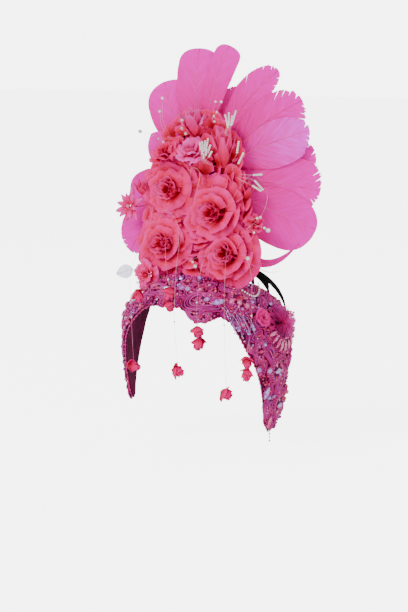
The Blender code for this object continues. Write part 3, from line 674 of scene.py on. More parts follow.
# Loose stones: cut crystals, round pink beads and pearl drops larger than the rest, and a fringe
# of silver-lilac strands at the left temple, sewn on last over the lace. A short thread with three
# beads hangs from the tip of the left tail.
STONES = (
    # turn, down, lift, shape, radius or half measures, finish, then the heading of a cut stone
    (43, 75, 4.5, MARQUISE, (6.2, 3.4, 3.0), LILAC, 0.2), (-12, 60, 4.5, CRYSTAL, (2.6, 2.6, 2.2), LILAC),
    (8, 58, 5.0, CRYSTAL, (3.0, 2.4, 2.4), LILAC, 0.5), (15, 59, 5.0, CRYSTAL, (2.8, 2.8, 2.4), LILAC),
    (54, 76, 5.0, ROUND, 2.9, PEARL), (60, 78, 5.0, ROUND, 3.0, PEARL), (65, 82, 5.0, ROUND, 2.9, PEARL),
    (49, 68, 5.0, ROUND, 2.5, RUBY), (57, 66, 5.0, ROUND, 2.6, RUBY), (66, 72, 5.0, ROUND, 2.4, RUBY),
    (70, 147, 4.5, CRYSTAL, (3.0, 2.6, 2.4), LILAC), (79, 150, 4.5, CRYSTAL, (3.2, 2.8, 2.4), LILAC, 0.4),
    (89, 157, 4.5, CRYSTAL, (3.2, 2.6, 2.4), LILAC, 0.9),
    (78, 172, 4.0, MARQUISE, (5.2, 3.2, 2.6), LILAC, 1.1),
    (86, 204, 3.5, MARQUISE, (5.0, 2.6, 2.4), PEARL, 1.3), (103, 178, 4.0, ROUND, 2.6, PEARL),
    (101, 184, 4.0, ROUND, 2.4, RUBY), (98, 178, 4.0, ROUND, 2.4, RUBY),
    (-52, 84, 4.5, MARQUISE, (4.6, 2.8, 2.4), LILAC, 1.0),
    (-63, 112, 4.5, CRYSTAL, (2.8, 2.6, 2.2), LILAC),
    (-66, 150, 4.0, CRYSTAL, (2.6, 2.6, 2.2), VIOLET),
    (-30, 60, 4.5, MARQUISE, (4.4, 2.4, 2.2), PEARL, 0.3),
    (28, 60, 5.0, ROUND, 2.2, PEARL), (34, 56, 5.0, ROUND, 2.0, RUBY),
)
SETTING_BEADS, SETTING_RADIUS, SETTING_CLEAR = 14, 0.75, 0.8
FRINGE_STRANDS = 12
PENDANT_BEADS = ((5.0, 1.0), (8.5, 0.8), (12.0, 1.1))
STRAND = len(BEAD_FINISHES)
stones = Work()
for turn, down, lift, shape, halves, kind, *heading in STONES:
    normal = head_out(turn, down)
    along = Matrix.Rotation(heading[0] if heading else 0.0, 3, normal) @ head_along(turn, down)
    middle = head_point(turn, down, BAND_WALL + lift * 0.6)
    stamp(stones, shape, middle, normal, halves, kind, shape is ROUND, along)
    if shape is not ROUND:
        ahead = along.normalized()
        side = ahead.cross(normal)
        for angle in laps(SETTING_BEADS):
            stamp(stones, ROUND, middle + ahead * math.cos(angle) * (halves[0] + SETTING_CLEAR)
                  + side * math.sin(angle) * (halves[1] + SETTING_CLEAR), normal, SETTING_RADIUS, FOIL)
luck = random.Random("fringe")
for k in range(FRINGE_STRANDS):
    part = k / (FRINGE_STRANDS - 1)
    turn, down = 46 + 16 * part + luck.uniform(-0.8, 0.8), 82 + 8 * part + luck.uniform(-2, 2)
    long = luck.uniform(15, 30)
    strand = [head_point(turn + 5 * t + luck.uniform(-0.9, 0.9), down + long * t,
                         BAND_WALL + 3.4 + 2.0 * math.sin(math.pi * t)) for t in (0, 0.25, 0.5, 0.75, 1)]
    tube(stones, strand, 0.26, 5, STRAND if k % 3 else LILAC)
    stamp(stones, ROUND, strand[0], strand[0], 1.2, (PEARL, VIOLET)[k % 2])
    stamp(stones, ROUND, strand[-1], strand[0], 0.8, LILAC)
tail_tip, upright = head_point(93, 214, 2.0), Vector((0, 0, 1))
tube(stones, [tail_tip - upright * 3.0 * k for k in range(5)], 0.2, 5, PEARL)
for fall, radius in PENDANT_BEADS:
    stamp(stones, ROUND, tail_tip - upright * fall, upright, radius, PEARL)
silver_strand = glass("silver_strand", (0.46, 0.06, 0.36, 1), (0.66, 0.34, 0.66, 1), 260.0, 0.25, 0.4)
stones.make("band_stones_and_fringe", BEAD_FINISHES + (silver_strand,), "lace_beads")

# Temple flower: a shaggy pompom of stiff pink net strips on a collar of looped cord over a round of
# tulle, with long pearl drops fanned round its lower half.
POMPOM_STRIPS, POMPOM_RADIUS, POMPOM_HEIGHT, POMPOM_UP = 290, 16.5, 14.0, 3.0
COLLAR_LOOPS, COLLAR_STEPS = 15, 14
NET_RINGS, NET_STEPS = (3.0, 12.0, 18.0, 22.5), 60
DROP_FAN = range(196, 341, 18)
GOLDEN_TURN = math.pi * (3 - math.sqrt(5))
RIBBON, COLLAR, ROUND_OF_TULLE = range(5, 8)


def on_strip(tree):
    """Where a point is on the object, and how far across and along its petal, barb or strip."""
    spot = place(tree, "TexCoord").outputs
    return spot, place(tree, "SeparateXYZ", {"Vector": spot["UV"]}).outputs


net_ribbon, tree = finish("net_ribbon", Roughness=0.5, Specular_IOR_Level=0.3)
shade = blend(tree, on_strip(tree)[1]["Y"], (1.0, 0.0, 0.30, 1), (1.0, 0.09, 0.62, 1))
surface(net_ribbon, shade, use(tree, weave, Scale=300.0)["Height"])

luck = random.Random("dahlia")
normal = head_out(*DAHLIA)
across = head_along(*DAHLIA).normalized()
upward = across.cross(normal) * (1 if across.cross(normal).z > 0 else -1)
crown = head_point(*DAHLIA, BAND_WALL) + upward * POMPOM_UP + normal * 2.5
flower = Work()


def on_temple(reach, angle, lift):
    """Point over the temple, at a distance and direction from the flower's middle."""
    turn, down = DAHLIA
    return head_point(turn + reach * math.cos(angle) / head_degree(turn, down),
                      down - reach * math.sin(angle), BAND_WALL + lift)


flower.add([on_temple(reach * (1 + 0.05 * math.cos(COLLAR_LOOPS * angle)), angle, 0.8)
            for reach in NET_RINGS for angle in laps(NET_STEPS)],
           quads(len(NET_RINGS) - 1, NET_STEPS), ROUND_OF_TULLE)
for angle in laps(COLLAR_LOOPS):
    for size, rise in ((1.0, 2.2), (0.66, 2.8)):
        tube(flower, [on_temple(DAHLIA_RADIUS * (0.72 + 0.24 * size * math.cos(lap)),
                                angle + 0.19 * size * math.sin(lap), rise) for lap in laps(COLLAR_STEPS)],
             GIMP_RADIUS, 5, COLLAR, True)
for k in range(POMPOM_STRIPS):
    polar, angle = math.acos(1 - 1.04 * (k + 0.5) / POMPOM_STRIPS), GOLDEN_TURN * k
    ray = across * math.cos(angle) + upward * math.sin(angle)
    out_way = ray * math.sin(polar) * POMPOM_RADIUS + normal * math.cos(polar) * POMPOM_HEIGHT
    side = normal.cross(ray).normalized() * math.cos(1.2 * k) + normal * math.sin(1.2 * k) * 0.6
    length, half = luck.uniform(0.82, 1.06), luck.uniform(0.8, 1.3)
    points, spots = [], []
    for t in (0, 0.25, 0.5, 0.75, 1):
        droop = ray * 2.0 * t * t * math.sin(polar) - normal * 1.2 * t ** 3
        for s in (-1, 0, 1):
            points.append(crown + out_way * (0.15 + 0.85 * t) * length + droop
                          + side * half * s * (0.6 + 0.9 * t - 1.1 * t ** 4)
                          + normal * (0.4 if s == 0 else 0))
            spots.append((0.5 + 0.5 * s, t))
    flower.add(points, quads(4, 3, False), RIBBON, True, spots)
    if k % 13 == 6:
        stamp(flower, ROUND, points[-2], normal, 1.3, PEARL)
for angle in map(math.radians, DROP_FAN):
    ray = across * math.cos(angle) + upward * math.sin(angle)
    stamp(flower, MARQUISE, on_temple(20.5, angle, 4.5), (normal + ray * 0.35).normalized(), (4.4, 2.0, 2.0),
          PEARL, False, ray)
    stamp(flower, ROUND, on_temple(25.6, angle, 2.5), normal, 1.3, RUBY)
flower.make("temple_dahlia", BEAD_FINISHES + (net_ribbon, gimp_thread, tulle), "lace_beads", "dahlia_left")

# Silk roses: coral petals stamped from stiffened silk, cupped with a hot iron, rolled at the rim
# and glued in whorls round a crumpled heart. The four large ones cover the shield.
PANEL = Matrix.Translation((0, -30, 0)) @ Matrix.Rotation(math.radians(-8), 4, "X")
PANEL_FACE = 1.8
ROSES = (
    # node, across, up, radius, height, turn
    ("rose_upper_left", -25, 77, 30, 24, 8),
    ("rose_centre", 26, 56, 30, 28, 30),
    ("rose_lower_left", -28, 23, 29, 24, 50),
    ("rose_lower_right", 42, 16, 29, 25, 18),
)
ROSE_WHORLS = [
    # petals, turn, half spread in degrees, then (radius, height) at root, belly and rim as shares
    (5, 0, 47, (0.20, 0.02), (0.86, 0.00), (1.10, 0.40)),
] + [(1, 40 + 137.5 * k, 44 + 2.4 * k, (0.18 - 0.006 * k, 0.04 + 0.02 * k),
      (0.76 - 0.052 * k, 0.06 + 0.055 * k), (1.00 - 0.068 * k, 0.58 + 0.36 * (k / 8) ** 0.7))
     for k in range(10)]
PETAL_GRID, HEART_GRID = (10, 13), (7, 13)
CURL_START, EDGE_START, WIDE_BY = 0.70, 0.6, 1.5


def bowed(start, middle, end, t):
    """Number or point at a share of a bowed line."""
    return start * (1 - t) ** 2 + middle * 2 * t * (1 - t) + end * t ** 2


def petal(work, hub, x, y, z, angle, spread, root, belly, rim, roll, ruffle, luck, kind=0, tuck=1.0,
          waves=2.6, grid=PETAL_GRID, point=0.0):
    """Cupped petal round an axis, wider at its belly, with a rounded, rolled and ruffled rim."""
    points, spots = [], []
    phase, waves = luck.uniform(0, 6.3), waves * luck.uniform(0.8, 1.25)
    rows, columns = grid
    notch = luck.uniform(0.0, 0.07)
    for row in range(rows):
        v = row / (rows - 1)
        curl = max(0, (v - CURL_START) / (1 - CURL_START))
        width = spread * (0.42 + 0.58 * math.sin(math.pi / 2 * min(1, v * WIDE_BY)))
        width *= 1 - point * max(0, (v - 0.45) / 0.55) ** 1.5
        for column in range(columns):
            u = 2 * column / (columns - 1) - 1
            t = v * (1 - 0.26 * abs(u) ** 2.2 - notch * math.exp(-12 * u * u))
            radius, height = (bowed(root[k], belly[k], rim[k], t) for k in (0, 1))
            wave = ruffle * math.sin(waves * math.pi * u + phase) * v ** 2
            edge_curl = max(0, abs(u) - EDGE_START) / (1 - EDGE_START)
            radius += roll * curl * (1 - 0.2 * curl) + tuck * u + 0.5 * wave
            height += wave - roll * 0.95 * curl ** 2 - roll * 0.5 * edge_curl ** 2 * v
            theta = angle + u * width
            points.append(hub + (x * math.cos(theta) + y * math.sin(theta)) * radius + z * height)
            spots.append((0.5 + 0.5 * u, v))
    work.add(points, quads(rows - 1, columns, False), kind, True, spots)


def on_shield(across, up, out):
    return PANEL @ Vector((across, -PANEL_FACE - out, up))


def shield_frame(across, up, out, lean_across=0.0, lean_up=0.0):
    """Hub on the shield's face and a flower's own axes, its face leaning sideways or upward."""
    tilt = (Matrix.Rotation(math.radians(lean_across), 3, "Z")
            @ Matrix.Rotation(math.radians(-lean_up), 3, "X"))
    x, y, z = (PANEL.to_3x3() @ tilt).transposed()
    return on_shield(across, up, out), x, z, -y


def ramp(tree, share, deep, body, light):
    """Colour along three stops, each a place and a colour."""
    made = place(tree, "ValToRGB", {"Fac": share})
    stops = made.color_ramp.elements
    stops[0].position, stops[0].color = deep
    stops[1].position, stops[1].color = light
    stops.new(body[0]).color = body[1]
    return made.outputs["Color"]


def silk(name, deep, body, light):
    """Petal silk: painted shade deep at the root, where the petals shade one another, and a painted
    highlight paler towards the rolled rim; fanned veins and a fine weave.
    """
    made, tree = finish(name, Roughness=0.62, Specular_IOR_Level=0.12)
    spot, along = on_strip(tree)
    cloud = reckon(tree, "MULTIPLY_ADD", noise(tree, spot["Object"], 90.0, 3.0), 0.5, -0.25)
    # Painted light: the deep stop at the petal root is painted shade, the light stop at the rim a painted
    # highlight on the rolled edge.
    tint = ramp(tree, reckon(tree, "ADD", along["Y"], cloud), (0.28, deep), (0.72, body), (1.0, light))
    fan = place(tree, "CombineXYZ", {"X": along["X"]}).outputs[0]
    veins = place(tree, "TexWave", {"Vector": fan, "Scale": 3.2, "Distortion": 3.0, "Detail": 2.0,
                                    "Detail Scale": 3.0}).outputs["Fac"]
    cloth = use(tree, weave, Scale=420.0)["Height"]
    return surface(made, tint, reckon(tree, "MULTIPLY_ADD", cloth, 0.25, veins), 0.0004, 0.5)


# Each silk's deep colour is painted shade at the petal roots and its light colour a painted highlight on the
# rims.
coral_silk = silk("coral_silk", (0.42, 0.0, 0.012, 1), (0.86, 0.0, 0.09, 1), (1.0, 0.01, 0.30, 1))
pale_silk = silk("pale_coral_silk", (0.76, 0.0, 0.06, 1), (0.98, 0.01, 0.20, 1), (1.0, 0.05, 0.42, 1))
blush_silk = silk("blush_silk", (0.80, 0.0, 0.12, 1), (1.0, 0.03, 0.36, 1), (1.0, 0.12, 0.62, 1))


def rose(work, frame_axes, radius, height, turn, whorls, luck, kind=0, heart=14, heart_kind=1, point=0.0):
    """Flower of petal whorls round a heart of small crumpled petals."""
    hub, x, y, z = frame_axes
    for petals, start, spread, root, belly, rim in whorls:
        for k in range(petals):
            angle = math.radians(start + turn + 360 * k / petals + luck.uniform(-9, 9))
            grow, lifted = luck.uniform(0.89, 1.06), luck.uniform(0.86, 1.08)
            scaled = [(a * radius * grow, b * height * lifted) for a, b in (root, belly, rim)]
            petal(work, hub, x, y, z, angle, math.radians(spread * luck.uniform(0.9, 1.08)), *scaled,
                  roll=radius * 0.17 * luck.uniform(0.6, 1.6), ruffle=radius * 0.06, luck=luck, kind=kind,
                  tuck=radius * 0.05, point=point)
    for k in range(heart):
        angle = GOLDEN_TURN * k
        place_out = radius * 0.26 * math.sqrt((k + 0.5) / heart)
        middle = hub + (x * math.cos(angle) + y * math.sin(angle)) * place_out
        small = radius * luck.uniform(0.07, 0.12)
        petal(work, middle, x, y, z, angle + luck.uniform(-0.7, 0.7), math.radians(85),
              (small * 0.3, height * 0.4), (small * 0.9, height * 0.75),
              (small * 1.3, height * luck.uniform(0.96, 1.12)), roll=small * 0.45,
              ruffle=small * 0.30, luck=luck, kind=heart_kind, tuck=small * 0.1, waves=5.0, grid=HEART_GRID)


def keep_in_front(work):
    """Press whatever would poke into the shield flat against its face."""
    for k, point in enumerate(work.points):
        local = PANEL.inverted() @ point
        if local.y > -PANEL_FACE:
            work.points[k] = on_shield(local.x, local.z, 0)


for name, across_mm, up_mm, radius, height, turn in ROSES:
    work = Work()
    rose(work, shield_frame(across_mm, up_mm, 0.5), radius, height, turn, ROSE_WHORLS, random.Random(name))
    keep_in_front(work)
    work.make(name + "_petals", (coral_silk, pale_silk), "rose_silk", name)

# Small blooms: ruffled silk flowers and opened buds on short wired stems round the roses. A flower
# without a heart has a pearl in its middle.
BLOOM_WHORLS = (
    (5, 0, 40, (0.10, 0.30), (0.62, 0.42), (1.05, 0.86)),
    (5, 36, 40, (0.09, 0.34), (0.44, 0.52), (0.76, 1.00)),
    (4, 10, 46, (0.07, 0.40), (0.26, 0.62), (0.46, 1.08)),
)
CUP_WHORLS = (
    (4, 0, 50, (0.10, 0.00), (0.62, 0.30), (0.80, 1.00)),
    (4, 45, 48, (0.08, 0.05), (0.44, 0.40), (0.52, 1.12)),
    (3, 20, 60, (0.05, 0.10), (0.26, 0.50), (0.30, 1.00)),
)
STAR_WHORLS = (
    (6, 0, 30, (0.08, 0.50), (0.62, 0.52), (1.25, 0.80)),
    (6, 30, 30, (0.08, 0.56), (0.45, 0.66), (0.95, 0.98)),
)
CORAL, PALE, STEM, MIDDLE_PEARL, BLUSH = range(5)
BLOOMS = (
    # node, (across, up, out, lean across, lean up), radius, height, whorls, heart petals, finish,
    # foot of the stem (across, up), how pointed its petals are
    ("bloom_upper_centre", (-1, 107, 6, -4, 40), 16, 20, BLOOM_WHORLS, 6, BLUSH, (-5, 104), 0.3),
    ("bloom_top", (-3, 131, 7, -4, 66), 14, 27, CUP_WHORLS, 5, BLUSH, (-3, 136), 0.5),
    ("bloom_upper_right", (32, 100, 8, 6, 78), 13, 40, CUP_WHORLS, 3, PALE, (29, 100), 0.6),
    ("bloom_upper_left", (-29, 105, 6, -14, 42), 16, 18, BLOOM_WHORLS, 5, CORAL, (-27, 108), 0.4),
    ("star_flower_left", (-68, 58, 2, -12, 0), 13, 14, STAR_WHORLS, 0, BLUSH, (-37, 60), 0.9),
    ("bud_left", (-55, 70, 8, -10, 60), 8, 15, CUP_WHORLS, 2, PALE, (-37, 74), 0.6),
    ("bloom_low_left", (-41, -8, 7, -16, -8), 14, 14, BLOOM_WHORLS, 5, PALE, (-25, 7), 0.2),
    ("bloom_right", (68, 46, 4, 16, 10), 9, 14, BLOOM_WHORLS, 3, CORAL, (48, 47), 0.4),
    ("petals_right", (57, 70, 6, 20, 62), 9, 20, CUP_WHORLS, 3, CORAL, (42, 71), 0.6),
)
BLOOM_TURN, STEM_BOW, STEM_RADIUS = 20, 4, 0.6
stem_wire = tinted("stem_wire", (0.50, 0.02, 0.10, 1), (0.70, 0.06, 0.20, 1), 200.0, Roughness=0.6)


def smooth(points, steps):
    """Points along a smooth curve through the given ones."""
    ends = [points[0] * 2 - points[1], *points, points[-1] * 2 - points[-2]]
    path = []
    for a, b, c, d in zip(ends, ends[1:], ends[2:], ends[3:]):
        for k in range(steps):
            t = k / steps
            path.append((b * 2 + (c - a) * t + (a * 2 - b * 5 + c * 4 - d) * t ** 2
                         + (b * 3 - a - c * 3 + d) * t ** 3) * 0.5)
    return path + [points[-1]]


for name, seat, radius, height, whorls, heart, shade, (foot_x, foot_up), point in BLOOMS:
    work = Work()
    axes = shield_frame(*seat)
    rose(work, axes, radius, height, BLOOM_TURN, whorls, random.Random(name), shade, heart, shade, point)
    if not heart:
        stamp(work, ROUND, axes[0] + axes[3] * height * 0.72, axes[3], 2.2, MIDDLE_PEARL)
    bend = on_shield((foot_x + seat[0]) / 2, (foot_up + seat[1]) / 2, STEM_BOW)
    tube(work, smooth([on_shield(foot_x, foot_up, 0), bend, axes[0] + axes[3] * height * 0.3], 5),
         STEM_RADIUS, 6, STEM)
    work.make(name + "_petals", (coral_silk, pale_silk, stem_wire, BEAD_FINISHES[PEARL], blush_silk),
              "rose_silk", name)

# Filler petals: loose coral petals glued flat over the shield and tucked between the roses, so
# that no black buckram shows from the front.
FILLER_EDGES = (
    # height, left edge, right edge
    (0, -30, 34), (22, -42, 54), (45, -44, 58), (65, -44, 52), (85, -42, 48), (105, -38, 44),
    (122, -32, 37), (138, -22, 24), (150, -8, 6),
)
FILLER_ROWS, FILLER_RISE, FILLER_START, FILLER_PITCH = 17, 8.8, 3, 6.4
FAN_HEIGHT = 70
luck = random.Random("filler")
work = Work()
for row in range(FILLER_ROWS):
    up_mm = FILLER_START + FILLER_RISE * row
    a, b = next(pair for pair in zip(FILLER_EDGES, FILLER_EDGES[1:]) if up_mm < pair[1][0])
    part = (up_mm - a[0]) / (b[0] - a[0])
    left, far = [a[k] + (b[k] - a[k]) * part for k in (1, 2)]
    count = max(2, int((far - left) / FILLER_PITCH))
    for k in range(count):
        x_mm = left + (far - left) * (k + 0.5 + luck.uniform(-0.2, 0.2)) / count
        axes = shield_frame(x_mm, up_mm + luck.uniform(-2, 2), luck.uniform(0.4, 4), luck.uniform(-25, 25),
                            luck.uniform(-5, 30))
        angle = math.atan2(up_mm - FAN_HEIGHT, x_mm) + luck.uniform(-0.6, 0.6)
        size = luck.uniform(11, 15)
        petal(work, *axes, angle, math.radians(55), (1.0, 1.0), (size * 0.6, 2.0), (size, size * 0.5),
              roll=1.2, ruffle=0.9, luck=luck, tuck=0.3, grid=(6, 8))
keep_in_front(work)
work.make("filler_petals", (coral_silk,), "rose_silk")

# Temple rosette: a small crumpled deep pink silk rose, made as the blooms are and sewn through its
# middle on the band, between the pompom and the fringe.
ROSETTE, ROSETTE_RADIUS, ROSETTE_HEIGHT = (75, 96), 8.5, 7.5
# Its deep colour is painted shade at the petal roots, its light colour a painted highlight on the rims.
rosette_silk = silk("rosette_silk", (0.46, 0.0, 0.05, 1), (0.80, 0.0, 0.16, 1), (0.96, 0.0, 0.34, 1))
normal, side = head_out(*ROSETTE), head_along(*ROSETTE).normalized()
work = Work()
rose(work, (head_point(*ROSETTE, BAND_WALL), side, normal.cross(side), normal), ROSETTE_RADIUS,
     ROSETTE_HEIGHT, 0, BLOOM_WHORLS, random.Random("rosette"), 0, 6)
work.make("temple_rosette", (rosette_silk, blush_silk), "rose_silk")

# Feathers: dyed goose feathers in a fan behind the shield, each a bowed shaft with a vane of
# many barbs on both sides. The vanes split here and there, and fray towards their tips.
FAN_CENTRE = Vector((2.0, 92.0))
ROOT_RING = 20.0
LAYER, LAYER_START, LAYER_SPAN = 2.6, 0.08, 0.18
CUP = 0.8
SWEEP_BACK, SWEEP_REACH = 13.0, 130.0
VANE_START, VANE_BELLY, VANE_STEPS = 0.05, 0.64, 240
FEATHERS = (
    # node, tip across, tip up, width, bow to its right, layer, fray at the edge, bluntness of the tip
    ("feather_low_left", -80, 13, 48, 16, 1, 0.045, 2.6),
    ("feather_left_low", -81, 60, 52, 2, 2, 0.03, 3.0),
    ("feather_left_point", -60, 132, 36, -5, 0, 0.02, 1.7),
    ("feather_left_broad", -55, 185, 52, -9, 2, 0.02, 3.4),
    ("feather_top_left", -17, 219, 45, -8, 1, 0.015, 6.0),
    ("feather_top_right", 17, 222, 30, -13, 0, 0.015, 4.6),
    ("feather_back_top", 40, 176, 48, -6, 3, 0.05, 3.0),
    ("feather_right_sickle", 69, 199, 34, -15, 2, 0.06, 2.8),
    ("feather_right_high", 98, 170, 52, -9, 1, 0.08, 3.4),
    ("feather_right_pale", 110, 141, 46, -6, 0, 0.08, 2.8),
    ("feather_right_mid", 117, 113, 52, -4, 2, 0.07, 3.4),
    ("feather_right_low", 124, 83, 52, -4, 1, 0.07, 3.4),
    ("feather_right_broad", 122, 46, 56, 3, 0, 0.03, 3.2),
    ("feather_back_low", 112, 70, 46, -2, 3, 0.05, 3.0),
    ("feather_right_curl", 106, 32, 10, 47, 1, 0.0, 1.1),
)
BELLIES = {"feather_top_left": 0.70, "feather_top_right": 0.83, "feather_right_curl": 0.35}
CURL_ROOT = Vector((36.0, 34.0))
TUFT = (3.0, 9.0)
CUTS_A_FRAY, CUT_SPAN = 24, 12
LOOSE_START, LOOSE_SPAN, LOOSE_PULL = 0.70, 0.25, 0.40
SMOOTH_FRAY, SMOOTH_LOOSE = 0.03, 0.12
BARB_PITCH, BARB_STEPS, BARB_LEAN, BARB_OVERLAP = 0.9, 6, 1.25, 0.72
SHAFT_STEPS = 16
BARBS, QUILL = range(2)


def barb_dye_and_painted_light(name, root, body, tip):
    """Barbs streaked along their length by the dye; darker at the feather's root as painted shade where the
    feathers overlap and go under the roses, and paler outwards and towards the tip, partly the dye and
    partly a painted highlight.
    """
    made, tree = finish(name, Roughness=0.75, Specular_IOR_Level=0.05)
    spot, along = on_strip(tree)
    stretch = place(tree, "Mapping", {"Vector": spot["UV"], "Scale": (1.5, 45.0, 1.0)}).outputs[0]
    streak = noise(tree, stretch, 1.0, 3.0)
    lifted = reckon(tree, "MULTIPLY_ADD", streak, 1.1, -0.56)
    # Painted light: the root stop is painted shade, and the paler barb ends and tip are partly the dye and
    # partly a painted highlight.
    edge_light = reckon(tree, "MULTIPLY_ADD", along["X"], 0.15, lifted)
    tint = ramp(tree, reckon(tree, "ADD", along["Y"], edge_light), (0.22, root), (0.5, body), (1.0, tip))
    return surface(made, tint, streak, 0.0005, 0.4)


# Root colours are painted shade at the base of the fan; tip colours are partly the dye and partly a painted
# highlight.
pink_barb = barb_dye_and_painted_light("pink_barb", (0.56, 0.0, 0.09, 1), (0.88, 0.0, 0.32, 1), (1.0, 0.0, 0.56, 1))
pale_barb = barb_dye_and_painted_light("pale_barb", (0.70, 0.0, 0.14, 1), (0.92, 0.0, 0.38, 1), (1.0, 0.06, 0.82, 1))
quill = tinted("quill", (0.78, 0.0, 0.22, 1), (0.90, 0.06, 0.40, 1), 60.0, Roughness=0.35,
               Specular_IOR_Level=0.5)


def within(value, low=0.0, high=1.0):
    return max(low, min(high, value))


def vane_width(share, blunt, belly):
    """Share of a vane's greatest half width at a share of its shaft."""
    if share <= VANE_START:
        return 0.0
    if share < belly:
        return math.sin(math.pi / 2 * ((share - VANE_START) / (belly - VANE_START)) ** 1.05)
    return max(0.0, 1 - ((share - belly) / (1 - belly)) ** blunt) ** (0.5 if blunt > 2 else 0.8)


def swept(spot):
    return SWEEP_BACK * ((spot - FAN_CENTRE).length / SWEEP_REACH) ** 2


for name, tip_x, tip_up, width, bow, layer, fray, blunt in FEATHERS:
    luck = random.Random(name)
    tip = Vector((tip_x, tip_up))
    root = CURL_ROOT if name == "feather_right_curl" else (
        FAN_CENTRE + (tip - FAN_CENTRE).normalized() * ROOT_RING)
    course = (tip - root).normalized()
    bend = (root + tip) / 2 + Vector((course.y, -course.x)) * bow
    length = (tip - root).length
    phase = luck.uniform(0, 6.3)

    def vane_point(share, side_mm, lift):
        """Point of the vane, at a side distance from the shaft and a lift towards the front."""
        ahead = ((bend - root) * (1 - share) + (tip - bend) * share).normalized()
        spot = bowed(root, bend, tip, share) + Vector((ahead.y, -ahead.x)) * side_mm
        rise = within((share - LAYER_START) / LAYER_SPAN)
        depth = PANEL_FACE + 0.8 + LAYER * layer * rise * rise * (3 - 2 * rise) + swept(spot) - swept(root)
        depth += CUP * (side_mm / (width / 2)) ** 2 + 1.3 * math.sin(share * 6 + side_mm / 8 + phase) * share
        return PANEL @ Vector((spot.x, depth - lift, spot.y))

    work = Work()
    steps = [k / SHAFT_STEPS for k in range(SHAFT_STEPS + 1)]
    tube(work, [vane_point(t, 0, 0.15) for t in steps], [0.9 - 0.7 * t ** 0.8 for t in steps], 6, QUILL)
    broad = luck.choice((-1, 1)) * luck.uniform(0.05, 0.16)

    def barb_point(measure, q, reach, side, lift):
        """Point at a share of a barb, which ends at a measure along the vane's outline."""
        measure = within(measure, 0.0, run)
        upper = next((k for k, row in enumerate(outline) if row[0] >= measure), VANE_STEPS)
        before, after = outline[max(upper - 1, 0)], outline[upper]
        part = (measure - before[0]) / max(after[0] - before[0], 1e-6)
        end_share, half = [before[k] + (after[k] - before[k]) * part for k in (1, 2)]
        begin = end_share - BARB_LEAN * half / length
        return vane_point(begin + (end_share - begin) * q ** 0.9 * reach, side * half * q * reach, lift)

    for side in (-1, 1):
        outline, run = [], 0.0
        for k in range(VANE_STEPS + 1):
            share = VANE_START + (1 - VANE_START) * math.sin(math.pi / 2 * k / VANE_STEPS)
            half = width / 2 * (1 + side * broad) * vane_width(share, blunt, BELLIES.get(name, VANE_BELLY))
            if outline:
                run += math.hypot((share - outline[-1][1]) * length, half - outline[-1][2])
            outline.append((run, share, half))
        count = int(run / BARB_PITCH)
        cuts = [(run * luck.uniform(0.5, 0.92), luck.uniform(0.2, 0.6))
                for _ in range(int(fray * CUTS_A_FRAY))]
        tufts, stop = [], 0.0
        while stop < run:
            tufts.append((stop, luck.uniform(0.25, 0.75), luck.uniform(-1.6, 0.5)))
            stop += luck.uniform(*TUFT)
        tufts.append((run, 0.5, 0.0))
        for k in range(count):
            measure = run * (k + 0.5) / count
            tuft = max(n for n in range(len(tufts) - 1) if tufts[n][0] <= measure)
            begin, aim, extra = tufts[tuft]
            target = begin + (tufts[tuft + 1][0] - begin) * aim
            loose = within((measure / run - LOOSE_START) / LOOSE_SPAN)
            loose *= min(1.0, fray * 13) if fray > SMOOTH_FRAY else SMOOTH_LOOSE
            reach = 1 + (0.7 * extra + luck.uniform(-0.6, 0.3)) * fray * loose
            if fray > SMOOTH_FRAY and luck.random() < 0.14:
                reach += 0.09 * loose
            points, spots = [], []
            for step in range(BARB_STEPS + 1):
                q = step / BARB_STEPS
                shift = sum(math.copysign(gap * (1 - abs(measure - cut) / CUT_SPAN), measure - cut)
                            for cut, gap in cuts if abs(measure - cut) < CUT_SPAN) * q ** 3
                shift += (target - measure) * LOOSE_PULL * loose * q ** 4
                for edge_side in (-1, 1):
                    edge_measure = measure + shift + edge_side * BARB_PITCH * BARB_OVERLAP
                    points.append(barb_point(edge_measure, q, reach, side,
                                             0.04 * edge_side + 0.35 * extra * q))
                    spots.append((q, measure / run))
            work.add(points, quads(BARB_STEPS, 2, False), BARBS, True, spots)
    barb = pale_barb if name == "feather_right_pale" else pink_barb
    work.make(name + "_vane", (barb, quill), "feather", name)

# Root cover: an oval of black felt glued over the ends of the feathers at the back of the shield
# and whip-stitched round its edge with black cord. It wears the plain black felt that is packed
# with the frame.
COVER_HALF_WIDTH, COVER_HALF_HEIGHT, COVER_DEPTH = 25.0, 27.0, 7.6
COVER_STEPS, COVER_STITCHES = 40, 64
COVER_RINGS = [(share, 0) for share in (0.06, 0.25, 0.45, 0.62, 0.76, 0.87, 0.95, 1.0)] + [(1.0, -3.5)]
STITCH = ((0.90, 0.0, 0.3), (0.97, 0.02, 0.5), (1.03, 0.04, -1.2))


def cover_point(share, angle, lift):
    """Point on the domed felt, at a share of its half measures; lift is towards the back."""
    uneven = 0.5 * math.sin(3 * angle + 4 * share) * share
    return PANEL @ Vector((FAN_CENTRE.x + COVER_HALF_WIDTH * share * math.cos(angle),
                           PANEL_FACE + COVER_DEPTH - 1.4 * share ** 2 - 1.6 * share ** 8 + uneven + lift,
                           FAN_CENTRE.y + COVER_HALF_HEIGHT * share * math.sin(angle)))


work = Work()
faces = [(b, a, d, c) for a, b, c, d in quads(len(COVER_RINGS) - 1, COVER_STEPS)]
work.add([cover_point(share, angle, lift) for share, lift in COVER_RINGS for angle in laps(COVER_STEPS)],
         faces + [tuple(range(COVER_STEPS))], 0)
for angle in laps(COVER_STITCHES):
    tube(work, [cover_point(share, angle + on, lift) for share, on, lift in STITCH], 0.35, 5, 1)
packed_felt = bpy.data.materials["black_felt"]
work.make("feather_root_cover", (packed_felt, elastic), "black_felt")

